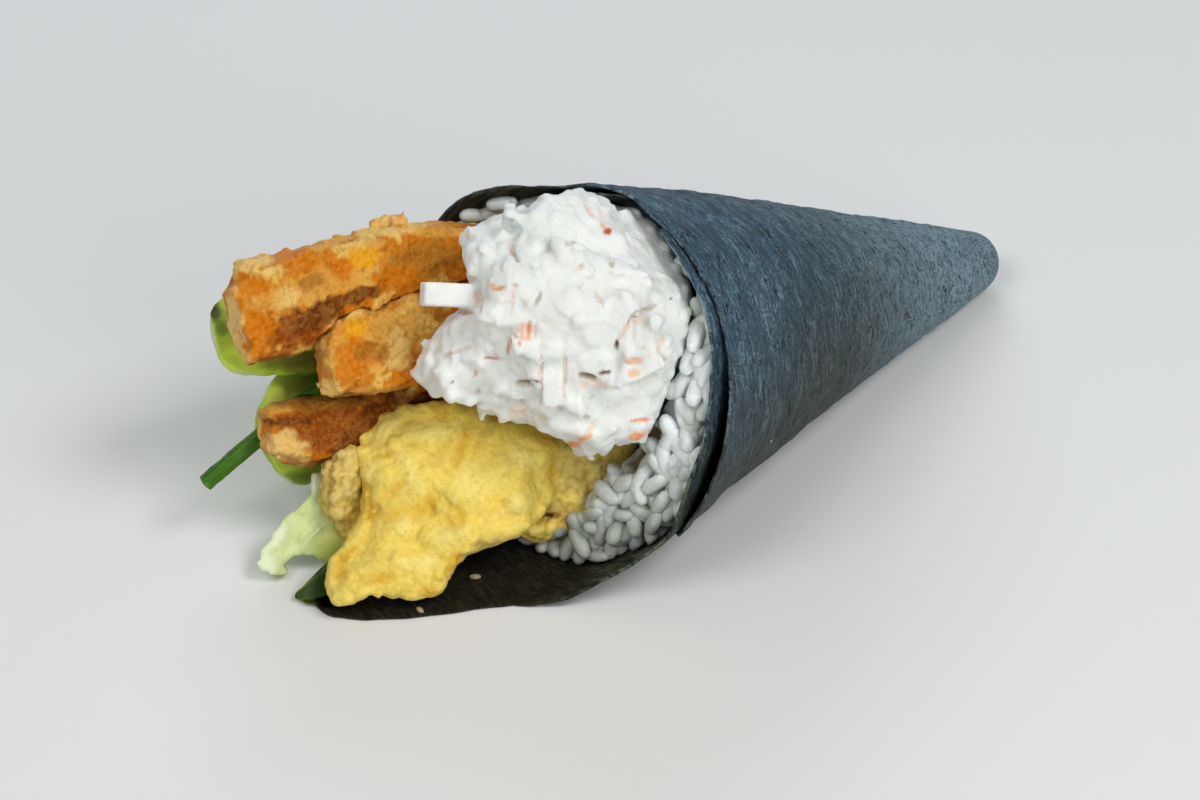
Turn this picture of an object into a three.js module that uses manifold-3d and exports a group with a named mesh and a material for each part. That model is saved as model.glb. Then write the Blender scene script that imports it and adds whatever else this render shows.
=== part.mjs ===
// A temaki hand roll: one sheet of roasted nori wound into a cone, lined with rice, with crab salad,
// fried battered sticks, tempura, avocado and cucumber standing out of its mouth. It lies on its side.
// Millimetres. +X runs along the floor to the closed tip, +Y to the far side, +Z up. The origin is on
// the floor, close under the middle of the mouth.
import * as THREE from "three";
import { mergeVertices } from "three/addons/utils/BufferGeometryUtils.js";
import { ImprovedNoise } from "three/addons/math/ImprovedNoise.js";
import Module from "manifold-3d";

const wasm = await Module();
wasm.setup();

// ---- The cone of nori
const MOUTH_RADIUS = 32; // outside of the roll at its mouth
const HALF_ANGLE = THREE.MathUtils.degToRad(14.81);
const MOUTH_SLANT = MOUTH_RADIUS / Math.sin(HALF_ANGLE); // from the virtual apex down to the mouth
const SETTLE = 0.5; // the soft cone is pressed flat by this much where it lies
const SHEET = 0.6; // thickness of the nori
const LAP_GAP = 0.35; // between two layers of the sheet
const LOOSE = 0.8; // extra gap between the layers low down at the mouth
const CONTACT = 0.35; // clearance kept between pieces that touch
const WAVE = 0.28; // height of the sheet's soft waves
const FLARE = 2.4; // how far the lip stands out low on the near side
const SAG = 0.7; // how far the top of the mouth sinks in
const TIP_AXIAL = 22.5; // where the rounded tip starts, from the virtual apex along the axis
const TIP_LENGTH = 4.6; // length of the rounded tip
const TIP_HOLE = 72; // degrees round the tip's curve at which the sheet stops

// The sheet's winding, in degrees from its inner edge. It starts high on the near side, runs down the
// near side, under the roll, up the far side and over the top, and ends low on the near side.
const START_TURN = 165; // the inner edge's place round the cone, from the floor line, near side positive
const WRAP = 480; // how far the sheet is wound
const COLUMNS = 44;
const ROWS = 8;
// The sheet's cut edge: [degrees wound, distance from the apex as a share of MOUTH_SLANT]. It runs out
// into a long corner, the tongue, that lies flat on the floor.
const CUT_EDGE = [
  [0, 1.006], [25, 1.01], [59, 1.004], [94, 1.02], [110, 1.055], [118, 1.085], [126, 1.12],
  [134, 1.158], [149, 1.205], [157, 1.266], [164, 1.322], [175, 1.4], [181, 1.385], [190, 1.24],
  [200, 1.13], [214, 1.07], [232, 1.06], [255, 1.09], [278, 1.106], [288, 1.094], [297, 1.07],
  [305, 1.03], [311, 0.99], [330, 0.985], [345, 0.995], [357, 1.008], [367, 0.995], [388, 0.988],
  [421, 1.0], [449, 1.01], [480, 1.015],
];
const TONGUE_TURN = 45; // degrees either side of the floor line over which the tongue is pressed flat

const degrees = THREE.MathUtils.degToRad;
const { lerp, smoothstep } = THREE.MathUtils;
const APEX = new THREE.Vector3(MOUTH_SLANT, 0, -SETTLE);
const OUTWARD = new THREE.Vector3(-Math.cos(HALF_ANGLE), 0, Math.sin(HALF_ANGLE));
const UPWARD = new THREE.Vector3(Math.sin(HALF_ANGLE), 0, Math.cos(HALF_ANGLE));
const NEAR = new THREE.Vector3(0, -1, 0);
const MOUTH_AXIAL = MOUTH_SLANT * Math.cos(HALF_ANGLE);
const MOUTH_CENTRE = APEX.clone().addScaledVector(OUTWARD, MOUTH_AXIAL);

const noise = new ImprovedNoise();
const ripple = (x, y, z) => noise.noise(x + 31.7, y + 17.3, z + 5.1);

// Straight-line reading of a list of [place, value] pairs.
function along(list, place) {
  let i = 1;
  while (i < list.length - 1 && list[i][0] < place) i++;
  const [from, low] = list[i - 1];
  const [to, high] = list[i];
  return lerp(low, high, THREE.MathUtils.clamp((place - from) / (to - from), 0, 1));
}

// A repeatable random draw.
function draws(seed) {
  let state = seed >>> 0;
  return () => {
    state = (state + 0x6d2b79f5) >>> 0;
    let t = state;
    t = Math.imul(t ^ (t >>> 15), t | 1);
    t ^= t + Math.imul(t ^ (t >>> 7), t | 61);
    return ((t ^ (t >>> 14)) >>> 0) / 4294967296;
  };
}

// A point given by how far it stands out of the mouth, to the near side and up from the cone's axis.
function inRoll(out, near, up) {
  return MOUTH_CENTRE.clone()
    .addScaledVector(OUTWARD, out)
    .addScaledVector(NEAR, near)
    .addScaledVector(UPWARD, up);
}

// The same three distances of a point in the part's frame, with its turn round the cone and its radius.
function rollPlace(point) {
  const from = point.clone().sub(MOUTH_CENTRE);
  const near = from.dot(NEAR);
  const up = from.dot(UPWARD);
  const turn = THREE.MathUtils.radToDeg(Math.atan2(near, -up));
  return { out: from.dot(OUTWARD), near, up, turn, radius: Math.hypot(near, up) };
}

// Direction from the axis out to the side, at a turn in degrees from the floor line.
function radial(turn) {
  return UPWARD.clone()
    .multiplyScalar(-Math.cos(degrees(turn)))
    .addScaledVector(NEAR, Math.sin(degrees(turn)));
}

// ---- Building closed meshes

function meshFrom(points, faces) {
  const geometry = new THREE.BufferGeometry();
  const flat = new Float32Array(points.flatMap((p) => [p.x, p.y, p.z]));
  geometry.setAttribute("position", new THREE.BufferAttribute(flat, 3));
  geometry.setIndex(faces);
  return geometry;
}

// A closed tube of rings, each a loop of the same number of points, with a fan at both ends.
function ringsToGeometry(rings, firstMiddle, lastMiddle) {
  const size = rings[0].length;
  const points = rings.flat();
  const faces = [];
  for (let ring = 0; ring + 1 < rings.length; ring++)
    for (let k = 0; k < size; k++) {
      const a = ring * size + k;
      const b = ring * size + ((k + 1) % size);
      faces.push(a, b, a + size, b, b + size, a + size);
    }
  const first = points.push(firstMiddle) - 1;
  const last = points.push(lastMiddle) - 1;
  const top = (rings.length - 1) * size;
  for (let k = 0; k < size; k++) {
    const next = (k + 1) % size;
    faces.push(first, next, k, last, top + k, top + next);
  }
  return meshFrom(points, faces);
}

// A geometry as a solid that can be joined and cut.
function solid(geometry) {
  const bare = geometry.clone();
  bare.deleteAttribute("normal");
  bare.deleteAttribute("uv");
  const merged = mergeVertices(bare, 1e-4);
  const made = new wasm.Manifold(
    new wasm.Mesh({
      numProp: 3,
      vertProperties: merged.attributes.position.array,
      triVerts: new Uint32Array(merged.index.array),
    }),
  );
  return made.volume() < 0 ? turnedOut(merged) : made;
}

function turnedOut(merged) {
  const order = Uint32Array.from(merged.index.array);
  for (let i = 0; i < order.length; i += 3) [order[i + 1], order[i + 2]] = [order[i + 2], order[i + 1]];
  const vertProperties = merged.attributes.position.array;
  return new wasm.Manifold(new wasm.Mesh({ numProp: 3, vertProperties, triVerts: order }));
}

// The largest body of a solid: what a cut leaves loose is dropped.
function largest(whole) {
  return whole.decompose().reduce((best, body) => (body.volume() > best.volume() ? body : best));
}

function geometryOf(whole) {
  const { vertProperties, triVerts, numProp } = whole.getMesh();
  const geometry = new THREE.BufferGeometry();
  const position = new Float32Array((vertProperties.length / numProp) * 3);
  for (let i = 0; i * numProp < vertProperties.length; i++)
    position.set(vertProperties.subarray(i * numProp, i * numProp + 3), i * 3);
  geometry.setAttribute("position", new THREE.BufferAttribute(position, 3));
  geometry.setIndex(new THREE.BufferAttribute(triVerts, 1));
  geometry.computeVertexNormals();
  return geometry;
}

// ---- The nori sheet

// How far inward a layer lies from the outside of the roll. The first part of the sheet is covered by
// its last part, and comes out to the surface where that ends.
function lapDepth(wound, share) {
  const covered = 1 - smoothstep(wound, START_TURN - 43, START_TURN - 12);
  const low = smoothstep(wound, 20, 75) * share ** 3;
  return covered * (SHEET + LAP_GAP + LOOSE * low);
}

// How far the roll stands out of a true cone: its soft waves, the lip low on the near side and the
// sagging top of the mouth. It is the same for every layer at one place, so that they don't touch.
function fullness(turn, share) {
  const angle = degrees(turn);
  const wide = ripple(Math.cos(angle) * 1.6, Math.sin(angle) * 1.6, share * 3);
  const fine = ripple(Math.cos(angle) * 4, Math.sin(angle) * 4, share * 9);
  const waves = (wide + 0.5 * fine) * 2 * WAVE * smoothstep(share, 0.2, 0.5);
  const hump = (middle, width) => Math.exp(-(((((turn - middle + 540) % 360) - 180) / width) ** 2));
  const lip = FLARE * hump(50, 38) * smoothstep(share, 0.84, 1.1);
  const sag = SAG * hump(-165, 45) * smoothstep(share, 0.8, 1);
  return waves + lip - sag;
}

// A point of the sheet: the place along a column goes from 0 at the tip's hole to 1 at the cut edge.
function sheetPoint(wound, row, depth) {
  const turn = START_TURN - wound;
  const tipRows = 3;
  const edge = MOUTH_SLANT * along(CUT_EDGE, wound);
  let axial, radius, slope;
  if (row < tipRows) {
    slope = lerp(degrees(TIP_HOLE), HALF_ANGLE, row / tipRows);
    const bend = Math.cos(slope) / Math.cos(HALF_ANGLE);
    radius = TIP_AXIAL * Math.tan(HALF_ANGLE) * bend;
    axial = TIP_AXIAL - (TIP_LENGTH * (Math.sin(slope) - Math.sin(HALF_ANGLE))) / (1 - Math.sin(HALF_ANGLE));
  } else {
    const start = TIP_AXIAL / Math.cos(HALF_ANGLE);
    const slant = lerp(start, edge, (row - tipRows) / ROWS);
    slope = HALF_ANGLE;
    axial = slant * Math.cos(HALF_ANGLE);
    radius = slant * Math.sin(HALF_ANGLE);
  }
  const share = axial / MOUTH_AXIAL;
  const inward = depth + lapDepth(wound, share) - fullness(turn, share);
  const point = APEX.clone()
    .addScaledVector(OUTWARD, axial + Math.sin(slope) * inward)
    .addScaledVector(radial(turn), Math.max(radius - Math.cos(slope) * inward, 0.25));
  // past the mouth the underside is pressed down on the floor, and nowhere does it go through it
  const pressed = smoothstep(share, 1, 1.22) * (1 - smoothstep(Math.abs(turn), 12, TONGUE_TURN));
  point.z = Math.max(lerp(point.z, depth, pressed), depth); // the outer face lies on the floor
  return point;
}

function noriWrap(grow = 0) {
  const rows = ROWS + 4;
  const face = (depth) => {
    const grid = [];
    for (let column = 0; column <= COLUMNS; column++)
      for (let row = 0; row < rows; row++)
        grid.push(sheetPoint((WRAP * column) / COLUMNS, row, depth));
    return grid;
  };
  const points = [...face(-grow), ...face(SHEET + grow)];
  const inner = points.length / 2;
  const at = (column, row) => column * rows + row;
  const faces = [];
  for (let column = 0; column < COLUMNS; column++)
    for (let row = 0; row + 1 < rows; row++) {
      const a = at(column, row);
      const b = at(column + 1, row);
      const c = at(column + 1, row + 1);
      const d = at(column, row + 1);
      faces.push(a, b, c, a, c, d);
      faces.push(inner + a, inner + c, inner + b, inner + a, inner + d, inner + c);
    }
  const rim = [];
  for (let column = 0; column < COLUMNS; column++) rim.push(at(column, 0));
  for (let row = 0; row + 1 < rows; row++) rim.push(at(COLUMNS, row));
  for (let column = COLUMNS; column > 0; column--) rim.push(at(column, rows - 1));
  for (let row = rows - 1; row > 0; row--) rim.push(at(0, row));
  rim.forEach((a, i) => {
    const b = rim[(i + 1) % rim.length];
    faces.push(a, inner + a, inner + b, a, inner + b, b);
  });
  return solid(meshFrom(points, faces));
}

// ---- Keeping the fillings inside the sheet

// How far the sheet is wound where it first passes a turn.
const firstPass = (turn) => (START_TURN - turn + 360) % 360;

// The free radius inside the sheet at a turn and a distance out of the mouth.
function freeRadius(turn, out) {
  const share = (MOUTH_AXIAL + out) / MOUTH_AXIAL;
  const wound = firstPass(turn);
  const aboveStart = smoothstep(wound, 340, 354); // the inner edge's own thickness, just past it
  const lap = lerp(lapDepth(wound, share), SHEET + LAP_GAP, aboveStart);
  const layer = lap + SHEET - fullness(turn, share) + CONTACT;
  return (MOUTH_AXIAL + out) * Math.tan(HALF_ANGLE) - layer / Math.cos(HALF_ANGLE);
}

// Whether the sheet backs a place: it does up to its cut edge, here with a small margin.
function sheetEnd(turn) {
  return MOUTH_AXIAL * (along(CUT_EDGE, firstPass(turn)) - 1) + 2.5;
}

// Moves a point that would go through the sheet or the floor back to where it may be.
function keptIn(point, floor = SHEET + CONTACT, margin = 0) {
  const place = rollPlace(point);
  const limit = freeRadius(place.turn, place.out) - margin;
  const pressedTongue = place.out > 3 && Math.abs(place.turn) < TONGUE_TURN;
  const kept = point.clone();
  if (place.out < sheetEnd(place.turn) && place.radius > limit && !pressedTongue) {
    const share = limit / place.radius;
    kept.copy(inRoll(place.out, place.near * share, place.up * share));
  }
  kept.z = Math.max(kept.z, floor);
  return kept;
}

// ---- Shapes of the fillings

// A lumpy bar along a smooth spine. Each station gives its half width, half thickness and lean: the
// angle of its wide side above the floor. Every other measure is shared by the whole bar.
function bar(form, grow = 0) {
  const { stations, rings = 14, sides = 14, square = 2.6, crag = 0, cragSize = 7, seed = 0 } = form;
  const { endRound = 0.55, floor } = form;
  const spine = new THREE.CatmullRomCurve3(stations.map((s) => s.at), false, "centripetal");
  const read = (key, t) => along(stations.map((s, i) => [i / (stations.length - 1), s[key]]), t);
  const corner = (c) => Math.sign(c) * Math.abs(c) ** (2 / square);
  const loops = [];
  for (let ring = 0; ring < rings; ring++) {
    const t = ring / (rings - 1);
    const middle = spine.getPoint(t);
    const ahead = spine.getTangent(t);
    const level = new THREE.Vector3(0, 0, 1).cross(ahead).normalize();
    const lift = ahead.clone().cross(level).normalize();
    const lean = degrees(read("lean", t));
    const side = Math.sign(level.y) || 1;
    const wideWay = level.clone().multiplyScalar(Math.cos(lean) * side).addScaledVector(lift, Math.sin(lean));
    const thickWay = ahead.clone().cross(wideWay).normalize();
    const isEnd = ring === 0 || ring === rings - 1;
    const shrink = isEnd ? endRound : 1;
    if (isEnd) middle.addScaledVector(ahead, ring === 0 ? -grow : grow);
    const loop = [];
    for (let k = 0; k < sides; k++) {
      const angle = (2 * Math.PI * k) / sides;
      const wide = read("wide", t) * shrink * corner(Math.cos(angle));
      const thick = read("thick", t) * shrink * corner(Math.sin(angle));
      const point = middle.clone().addScaledVector(wideWay, wide).addScaledVector(thickWay, thick);
      const away = point.clone().sub(middle).normalize();
      const rough = ripple(point.x / cragSize + seed, point.y / cragSize, point.z / cragSize);
      point.addScaledVector(away, grow + 2 * crag * rough);
      loop.push(keptIn(point, floor, 0.3));
    }
    loops.push(loop);
  }
  const middleOf = (loop) => loop.reduce((sum, p) => sum.add(p), new THREE.Vector3()).divideScalar(loop.length);
  const dome = (loop, t, way) => middleOf(loop).addScaledVector(spine.getTangent(t), way * 0.4);
  return solid(ringsToGeometry(loops, dome(loops[0], 0, -1), dome(loops.at(-1), 1, 1)));
}

const station = (at, wide, thick, lean) => ({ at, wide, thick, lean });

// ---- The fried battered sticks
const stickUpper = {
  stations: [
    station(inRoll(-30, -8, 7), 4, 3.5, 60),
    station(inRoll(-8, -15.5, 9.5), 5.4, 4.5, 60),
    station(inRoll(17, -26, 10), 6.2, 4.8, 62),
    station(inRoll(38, -30.6, 6.4), 7.8, 5.2, 62),
    station(inRoll(56, -32.4, 2.3), 9.3, 5, 62),
  ],
  rings: 15, sides: 14, square: 3.4, crag: 0.9, cragSize: 6, seed: 3, endRound: 0.72,
};
const stickMiddle = {
  stations: [
    station(inRoll(-30, -5, 2), 4, 3.5, 60),
    station(inRoll(-5, -13, 2.5), 5.5, 4.5, 60),
    station(inRoll(20, -19.5, 1), 6.8, 5, 62),
    station(inRoll(31, -22.5, -2.2), 7.6, 5.2, 62),
    station(inRoll(42.5, -23.5, -4.4), 7.2, 5, 62),
  ],
  rings: 13, sides: 14, square: 3.2, crag: 0.9, cragSize: 6, seed: 11, endRound: 0.72,
};
const stickLower = {
  stations: [
    station(inRoll(-28, -6, -4), 4, 3.5, 60),
    station(inRoll(-5, -13, -8.5), 5, 4, 60),
    station(inRoll(20, -20, -14), 5.4, 4.6, 62),
    station(inRoll(34, -25.2, -18.8), 5, 4.8, 62),
    station(inRoll(48, -28.4, -18.8), 5.2, 4.6, 62),
  ],
  rings: 14, sides: 14, square: 3.2, crag: 0.8, cragSize: 6, seed: 23, endRound: 0.72,
};

// ---- The yellow tempura: a broad piece on top, and two more that it leans on
const point = (x, y, z) => new THREE.Vector3(x, y, z);
const tempuraFront = {
  stations: [
    station(point(22, 1, 20), 6, 4.5, 36),
    station(point(7, 1.5, 17.6), 9, 6, 38),
    station(point(-4.5, 2.6, 16.6), 13, 6.6, 36),
    station(point(-16.8, 5, 16.2), 16.2, 7, 30),
    station(point(-27, 6.4, 12.8), 14.6, 6.4, 28),
    station(point(-35.6, 7.2, 8.2), 10, 5.2, 22),
    station(point(-43.4, 10.6, 5.6), 8.4, 4, 12),
  ],
  rings: 17, sides: 18, square: 2.2, crag: 1.5, cragSize: 8, seed: 40, endRound: 0.86,
};
const tempuraBack = {
  stations: [
    station(point(22, -1, 20), 6, 4, 50),
    station(point(8, -1.4, 16.5), 7.6, 5, 52),
    station(point(1, -4.4, 11), 7.8, 5.2, 52),
    station(point(-8, -1.5, 8), 7, 4.6, 40),
    station(point(-15, 3, 6.6), 5, 3.6, 30),
  ],
  rings: 11, sides: 14, square: 2.2, crag: 1.2, cragSize: 7, seed: 57, endRound: 0.65,
};
const tempuraFar = {
  stations: [
    station(point(0, 11, 12), 5, 3.4, 70),
    station(point(-14, 17, 13.5), 8, 4, 68),
    station(point(-26.5, 20.4, 12.4), 9.4, 4.2, 66),
    station(point(-36.5, 18.2, 8.8), 8, 3.8, 62),
  ],
  rings: 10, sides: 14, square: 2.2, crag: 1.1, cragSize: 7, seed: 71, endRound: 0.65,
};

// ---- The greens
const avocadoUpper = {
  stations: [
    station(inRoll(-8, -18, 2), 6, 2.6, 66),
    station(inRoll(10, -27.5, 3), 9, 3, 64),
    station(inRoll(26, -35.5, 0.2), 9.6, 3.2, 62),
    station(inRoll(40, -42, -5.2), 9.6, 3.2, 60),
    station(inRoll(47.5, -46, -8.2), 6.8, 2.8, 58),
  ],
  rings: 11, sides: 10, square: 2.4, crag: 0.25, seed: 83, endRound: 0.8,
};
const avocadoLower = {
  stations: [
    station(inRoll(-6, -16, -10), 5, 2.6, 62),
    station(inRoll(12, -25, -15), 8, 3, 62),
    station(inRoll(28, -31.5, -21), 9.6, 3.2, 62),
    station(inRoll(36, -34.6, -23.6), 9.6, 3.2, 62),
    station(inRoll(40.5, -36, -25.4), 7.4, 2.8, 62),
  ],
  rings: 10, sides: 10, square: 2.4, crag: 0.25, seed: 91, endRound: 0.8,
};
const greenStrip = {
  stations: [
    station(inRoll(0, -20, -3), 1.2, 1.2, 60),
    station(inRoll(18, -26, -6), 1.3, 1.3, 60),
    station(inRoll(32, -30, -12), 1.4, 1.4, 62),
    station(inRoll(44, -33, -21.8), 1.4, 1.4, 64),
    station(inRoll(54, -35.2, -31), 1.4, 1.4, 66),
  ],
  rings: 9, sides: 8, square: 8, crag: 0, endRound: 0.96,
};
const cucumberPale = {
  stations: [
    station(point(-8, 17, 12.5), 3.4, 2.6, 60),
    station(point(-19, 22, 9.6), 4, 3, 56),
    station(point(-29.5, 24.6, 7.4), 4.6, 3.2, 50),
    station(point(-39.5, 24.2, 5), 4.8, 3.2, 44),
    station(point(-48.6, 21.8, 3.4), 4.2, 2.6, 34),
  ],
  rings: 10, sides: 10, square: 4, crag: 0.3, seed: 101, endRound: 0.86, floor: 0.2,
};
const cucumberDark = {
  stations: [
    station(point(-26, 12, 4.2), 3, 1.4, 8),
    station(point(-36, 14, 3.2), 3.4, 1.4, 8),
    station(point(-43, 14.6, 2.4), 3.4, 1.2, 8),
    station(point(-50.5, 14.2, 1.4), 1.6, 0.7, 8),
  ],
  rings: 8, sides: 8, square: 3, crag: 0.2, seed: 113, endRound: 0.6, floor: 0.2,
};

// ---- The crab salad: a heaped scoop, its surface fused with shreds
const SCOOP = {
  centre: inRoll(9.5, -3.5, 8),
  radius: 21.8,
  plug: 12, // how much further it reaches into the roll than out of it
  seed: 131,
  // where it bulges or is pressed in: the way out from its centre, the height and the width in radians
  bulges: [
    [0.74, -0.48, -0.46, 4.5, 0.5],
    [-0.38, 0.8, -0.46, 2.2, 0.6],
    [0.4, -0.8, 0.45, -2, 0.5],
  ],
};
const SHREDS = 44;
const SHRED_SIZE = new THREE.Vector3(8.5, 2.6, 1.5);
const CHUNK_SIZE = new THREE.Vector3(9, 4.6, 4.4); // one square-cut piece stands out on the left
const CHUNK_AT = inRoll(30, -11, 14.5);

function scoopReach(way) {
  const inward = Math.max(-way.dot(OUTWARD), 0);
  const broad = ripple(way.x * 1.6 + SCOOP.seed, way.y * 1.6, way.z * 1.6);
  const small = ripple(way.x * 4 + SCOOP.seed, way.y * 4, way.z * 4);
  const bulge = SCOOP.bulges.reduce((sum, [out, near, up, height, width]) => {
    const apart = way.angleTo(inRoll(out, near, up).sub(MOUTH_CENTRE));
    return sum + height * Math.exp(-((apart / width) ** 2));
  }, 0);
  return SCOOP.radius + SCOOP.plug * inward ** 3 + bulge + 4.4 * broad + 2.2 * small;
}

function scoop(grow = 0) {
  const ball = new THREE.IcosahedronGeometry(1, 4);
  const place = ball.attributes.position;
  const way = new THREE.Vector3();
  for (let i = 0; i < place.count; i++) {
    way.fromBufferAttribute(place, i).normalize();
    const at = SCOOP.centre.clone().addScaledVector(way, scoopReach(way) + grow);
    const kept = keptIn(at);
    place.setXYZ(i, kept.x, kept.y, kept.z);
  }
  return solid(ball);
}

// A unit shape stretched, turned and put in place, as a solid.
function placed(shape, size, turned, at) {
  const frame = new THREE.Matrix4().compose(at, turned, size);
  return solid(shape.clone().applyMatrix4(frame));
}

function shreds() {
  const draw = draws(SCOOP.seed);
  const strip = new THREE.BoxGeometry(1, 1, 1);
  const made = [];
  const golden = Math.PI * (3 - Math.sqrt(5));
  for (let i = 0; i < SHREDS; i++) {
    // spread evenly over the half of the scoop that stands out of the mouth
    const height = 1 - (1.25 * (i + 0.5)) / SHREDS;
    const ring = Math.sqrt(1 - height * height);
    const way = OUTWARD.clone()
      .multiplyScalar(height)
      .addScaledVector(NEAR, ring * Math.cos(i * golden))
      .addScaledVector(UPWARD, ring * Math.sin(i * golden));
    const turned = new THREE.Quaternion()
      .setFromUnitVectors(new THREE.Vector3(0, 0, 1), way)
      .multiply(new THREE.Quaternion().setFromAxisAngle(new THREE.Vector3(0, 0, 1), draw() * Math.PI))
      .multiply(new THREE.Quaternion().setFromAxisAngle(new THREE.Vector3(0, 1, 0), (draw() - 0.5) * 0.7));
    const size = SHRED_SIZE.clone().multiply(point(0.6 + 0.8 * draw(), 0.7 + 0.7 * draw(), 0.8 + 0.6 * draw()));
    const at = SCOOP.centre.clone().addScaledVector(way, scoopReach(way) + 0.2);
    made.push(placed(strip, size, turned, at));
  }
  const facing = new THREE.Quaternion().setFromEuler(new THREE.Euler(0.25, 0.12, degrees(-44)));
  made.push(placed(strip, CHUNK_SIZE, facing, CHUNK_AT));
  return made.filter(underTheMouth);
}

// Whether a solid stays within the cone that the sheet would make if it went on past the mouth.
function underTheMouth(piece) {
  const { vertProperties, numProp } = piece.getMesh();
  for (let i = 0; i < vertProperties.length; i += numProp) {
    const place = rollPlace(point(...vertProperties.subarray(i, i + 3)));
    if (place.radius > freeRadius(place.turn, place.out) - 1) return false;
  }
  return true;
}

// ---- The rice: a lining pressed against the sheet, its open edge covered with grains
const RICE_NEAR = 15; // thickness of the lining at the mouth, near side
const RICE_FAR = 4.5; // and far side
const RICE_COLUMNS = 26;
const HOLLOW_DEPTH = 62; // how deep the fillings' hollow goes
const GRAIN_SIZE = new THREE.Vector3(2.8, 1.3, 1.3); // half length, half widths
const GRAINS = 96;
// The grains' turns, as [share of the grains, turn]. Most of them show on the near side and below.
const GRAIN_TURNS = [[0, -180], [0.22, -60], [0.88, 145], [1, 180]];
// How far the lining reaches out of the mouth: [turn, distance out].
const RICE_EDGE = [
  [-180, -8], [-150, -3], [-125, 4], [-100, 1], [-60, 1], [-25, 5], [0, 8], [25, 8.5], [50, 4],
  [80, 0.5], [110, -2], [140, -4], [180, -8],
];

function liningThickness(turn, depth) {
  const mouth = lerp(RICE_FAR, RICE_NEAR, 0.5 + 0.5 * Math.sin(degrees(turn)));
  return lerp(mouth, 4, smoothstep(depth, 0, HOLLOW_DEPTH));
}

function riceLining() {
  const rings = [];
  const ringAt = (outAt, radiusAt) => {
    const loop = [];
    for (let k = 0; k < RICE_COLUMNS; k++) {
      const turn = (360 * k) / RICE_COLUMNS - 180;
      const out = outAt(turn);
      const radius = radiusAt(turn, out);
      const place = inRoll(out, 0, 0).addScaledVector(radial(turn), radius);
      loop.push(keptIn(place, SHEET + 2 * CONTACT, CONTACT));
    }
    rings.push(loop);
  };
  const edge = (turn) => along(RICE_EDGE, turn);
  const deepest = TIP_AXIAL + 3 - MOUTH_AXIAL;
  const outerRows = 6;
  for (let row = 0; row <= outerRows; row++)
    ringAt((turn) => lerp(deepest, edge(turn) - 1.5, row / outerRows), freeRadius);
  ringAt(edge, (turn, out) => freeRadius(turn, out) - 1.2);
  const inside = (turn, out) => freeRadius(turn, out) - liningThickness(turn, -out);
  ringAt((turn) => edge(turn) - 1, (turn, out) => inside(turn, out) + 1);
  const innerRows = 4;
  for (let row = 0; row < innerRows; row++)
    ringAt((turn) => lerp(edge(turn) - 4, -HOLLOW_DEPTH, row / (innerRows - 1)), inside);
  const first = inRoll(deepest - 0.5, 0, 0);
  const last = inRoll(-HOLLOW_DEPTH - 1, 0, 0);
  return solid(ringsToGeometry(rings, first, last));
}

// Grains half sunk in the lining's open edge. One that would cross a filling is left out.
function riceGrains(fillings) {
  const draw = draws(7);
  const grain = new THREE.SphereGeometry(1, 5, 4);
  const made = [];
  for (let i = 0; i < GRAINS; i++) {
    const turn = along(GRAIN_TURNS, (i + draw()) / GRAINS);
    const across = ((i * 5) % 8) / 8 + draw() * 0.12;
    const out = along(RICE_EDGE, turn) + 1 - 1.2 * across - 2.6 * across ** 3;
    const reach = liningThickness(turn, 0) - 0.6;
    const radius = freeRadius(turn, out) - 1.5 - across * reach;
    const facing = new THREE.Quaternion().setFromUnitVectors(new THREE.Vector3(0, 0, 1), OUTWARD);
    const spun = new THREE.Quaternion().setFromAxisAngle(new THREE.Vector3(0, 0, 1), draw() * Math.PI * 2);
    const tipped = new THREE.Quaternion().setFromAxisAngle(new THREE.Vector3(0, 1, 0), (draw() - 0.5) * 1.4);
    const turned = facing.multiply(spun).multiply(tipped);
    const size = GRAIN_SIZE.clone().multiplyScalar(0.88 + 0.24 * draw());
    const at = inRoll(out, 0, 0).addScaledVector(radial(turn), radius);
    const clear = keptIn(at.clone().addScaledVector(radial(turn), 2)).addScaledVector(radial(turn), -2);
    const piece = placed(grain, size, turned, clear);
    if (fillings.every((filling) => piece.intersect(filling).volume() < 1e-6)) made.push(piece);
  }
  return made;
}

// ---- Fitting the pieces to each other

// Each piece in this order is cut back from those before it, by the clearance.
const ORDER = [
  ["fried_stick_middle", stickMiddle],
  ["fried_stick_upper", stickUpper],
  ["tempura_front", tempuraFront],
  ["fried_stick_lower", stickLower],
  ["tempura_back", tempuraBack],
  ["tempura_far", tempuraFar],
  ["green_strip", greenStrip],
  ["avocado_upper", avocadoUpper],
  ["avocado_lower", avocadoLower],
  ["cucumber_pale", cucumberPale],
  ["cucumber_dark", cucumberDark],
];

function cutBack(piece, swollen) {
  return largest(swollen.reduce((left, other) => left.subtract(other), piece));
}

const nori = noriWrap();
const solids = new Map([["nori_wrap", nori]]);
const swollen = [noriWrap(CONTACT)];
for (const [name, form] of ORDER) {
  solids.set(name, cutBack(bar(form), swollen));
  swollen.push(bar(form, CONTACT));
}

const salad = shreds()
  .filter((shred) => [nori, ...swollen].every((other) => shred.intersect(other).volume() < 1e-6))
  .reduce((whole, shred) => whole.add(shred), scoop());
solids.set("crab_salad", cutBack(salad, swollen));

const saladRoom = scoop(CONTACT);
const rice = riceGrains([...swollen, solids.get("crab_salad"), nori]).reduce(
  (whole, grain) => whole.add(grain),
  cutBack(riceLining(), [...swollen.slice(1), saladRoom]),
);
solids.set("rice", largest(rice.subtract(solids.get("crab_salad"))));

// ---- The finished roll

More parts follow.
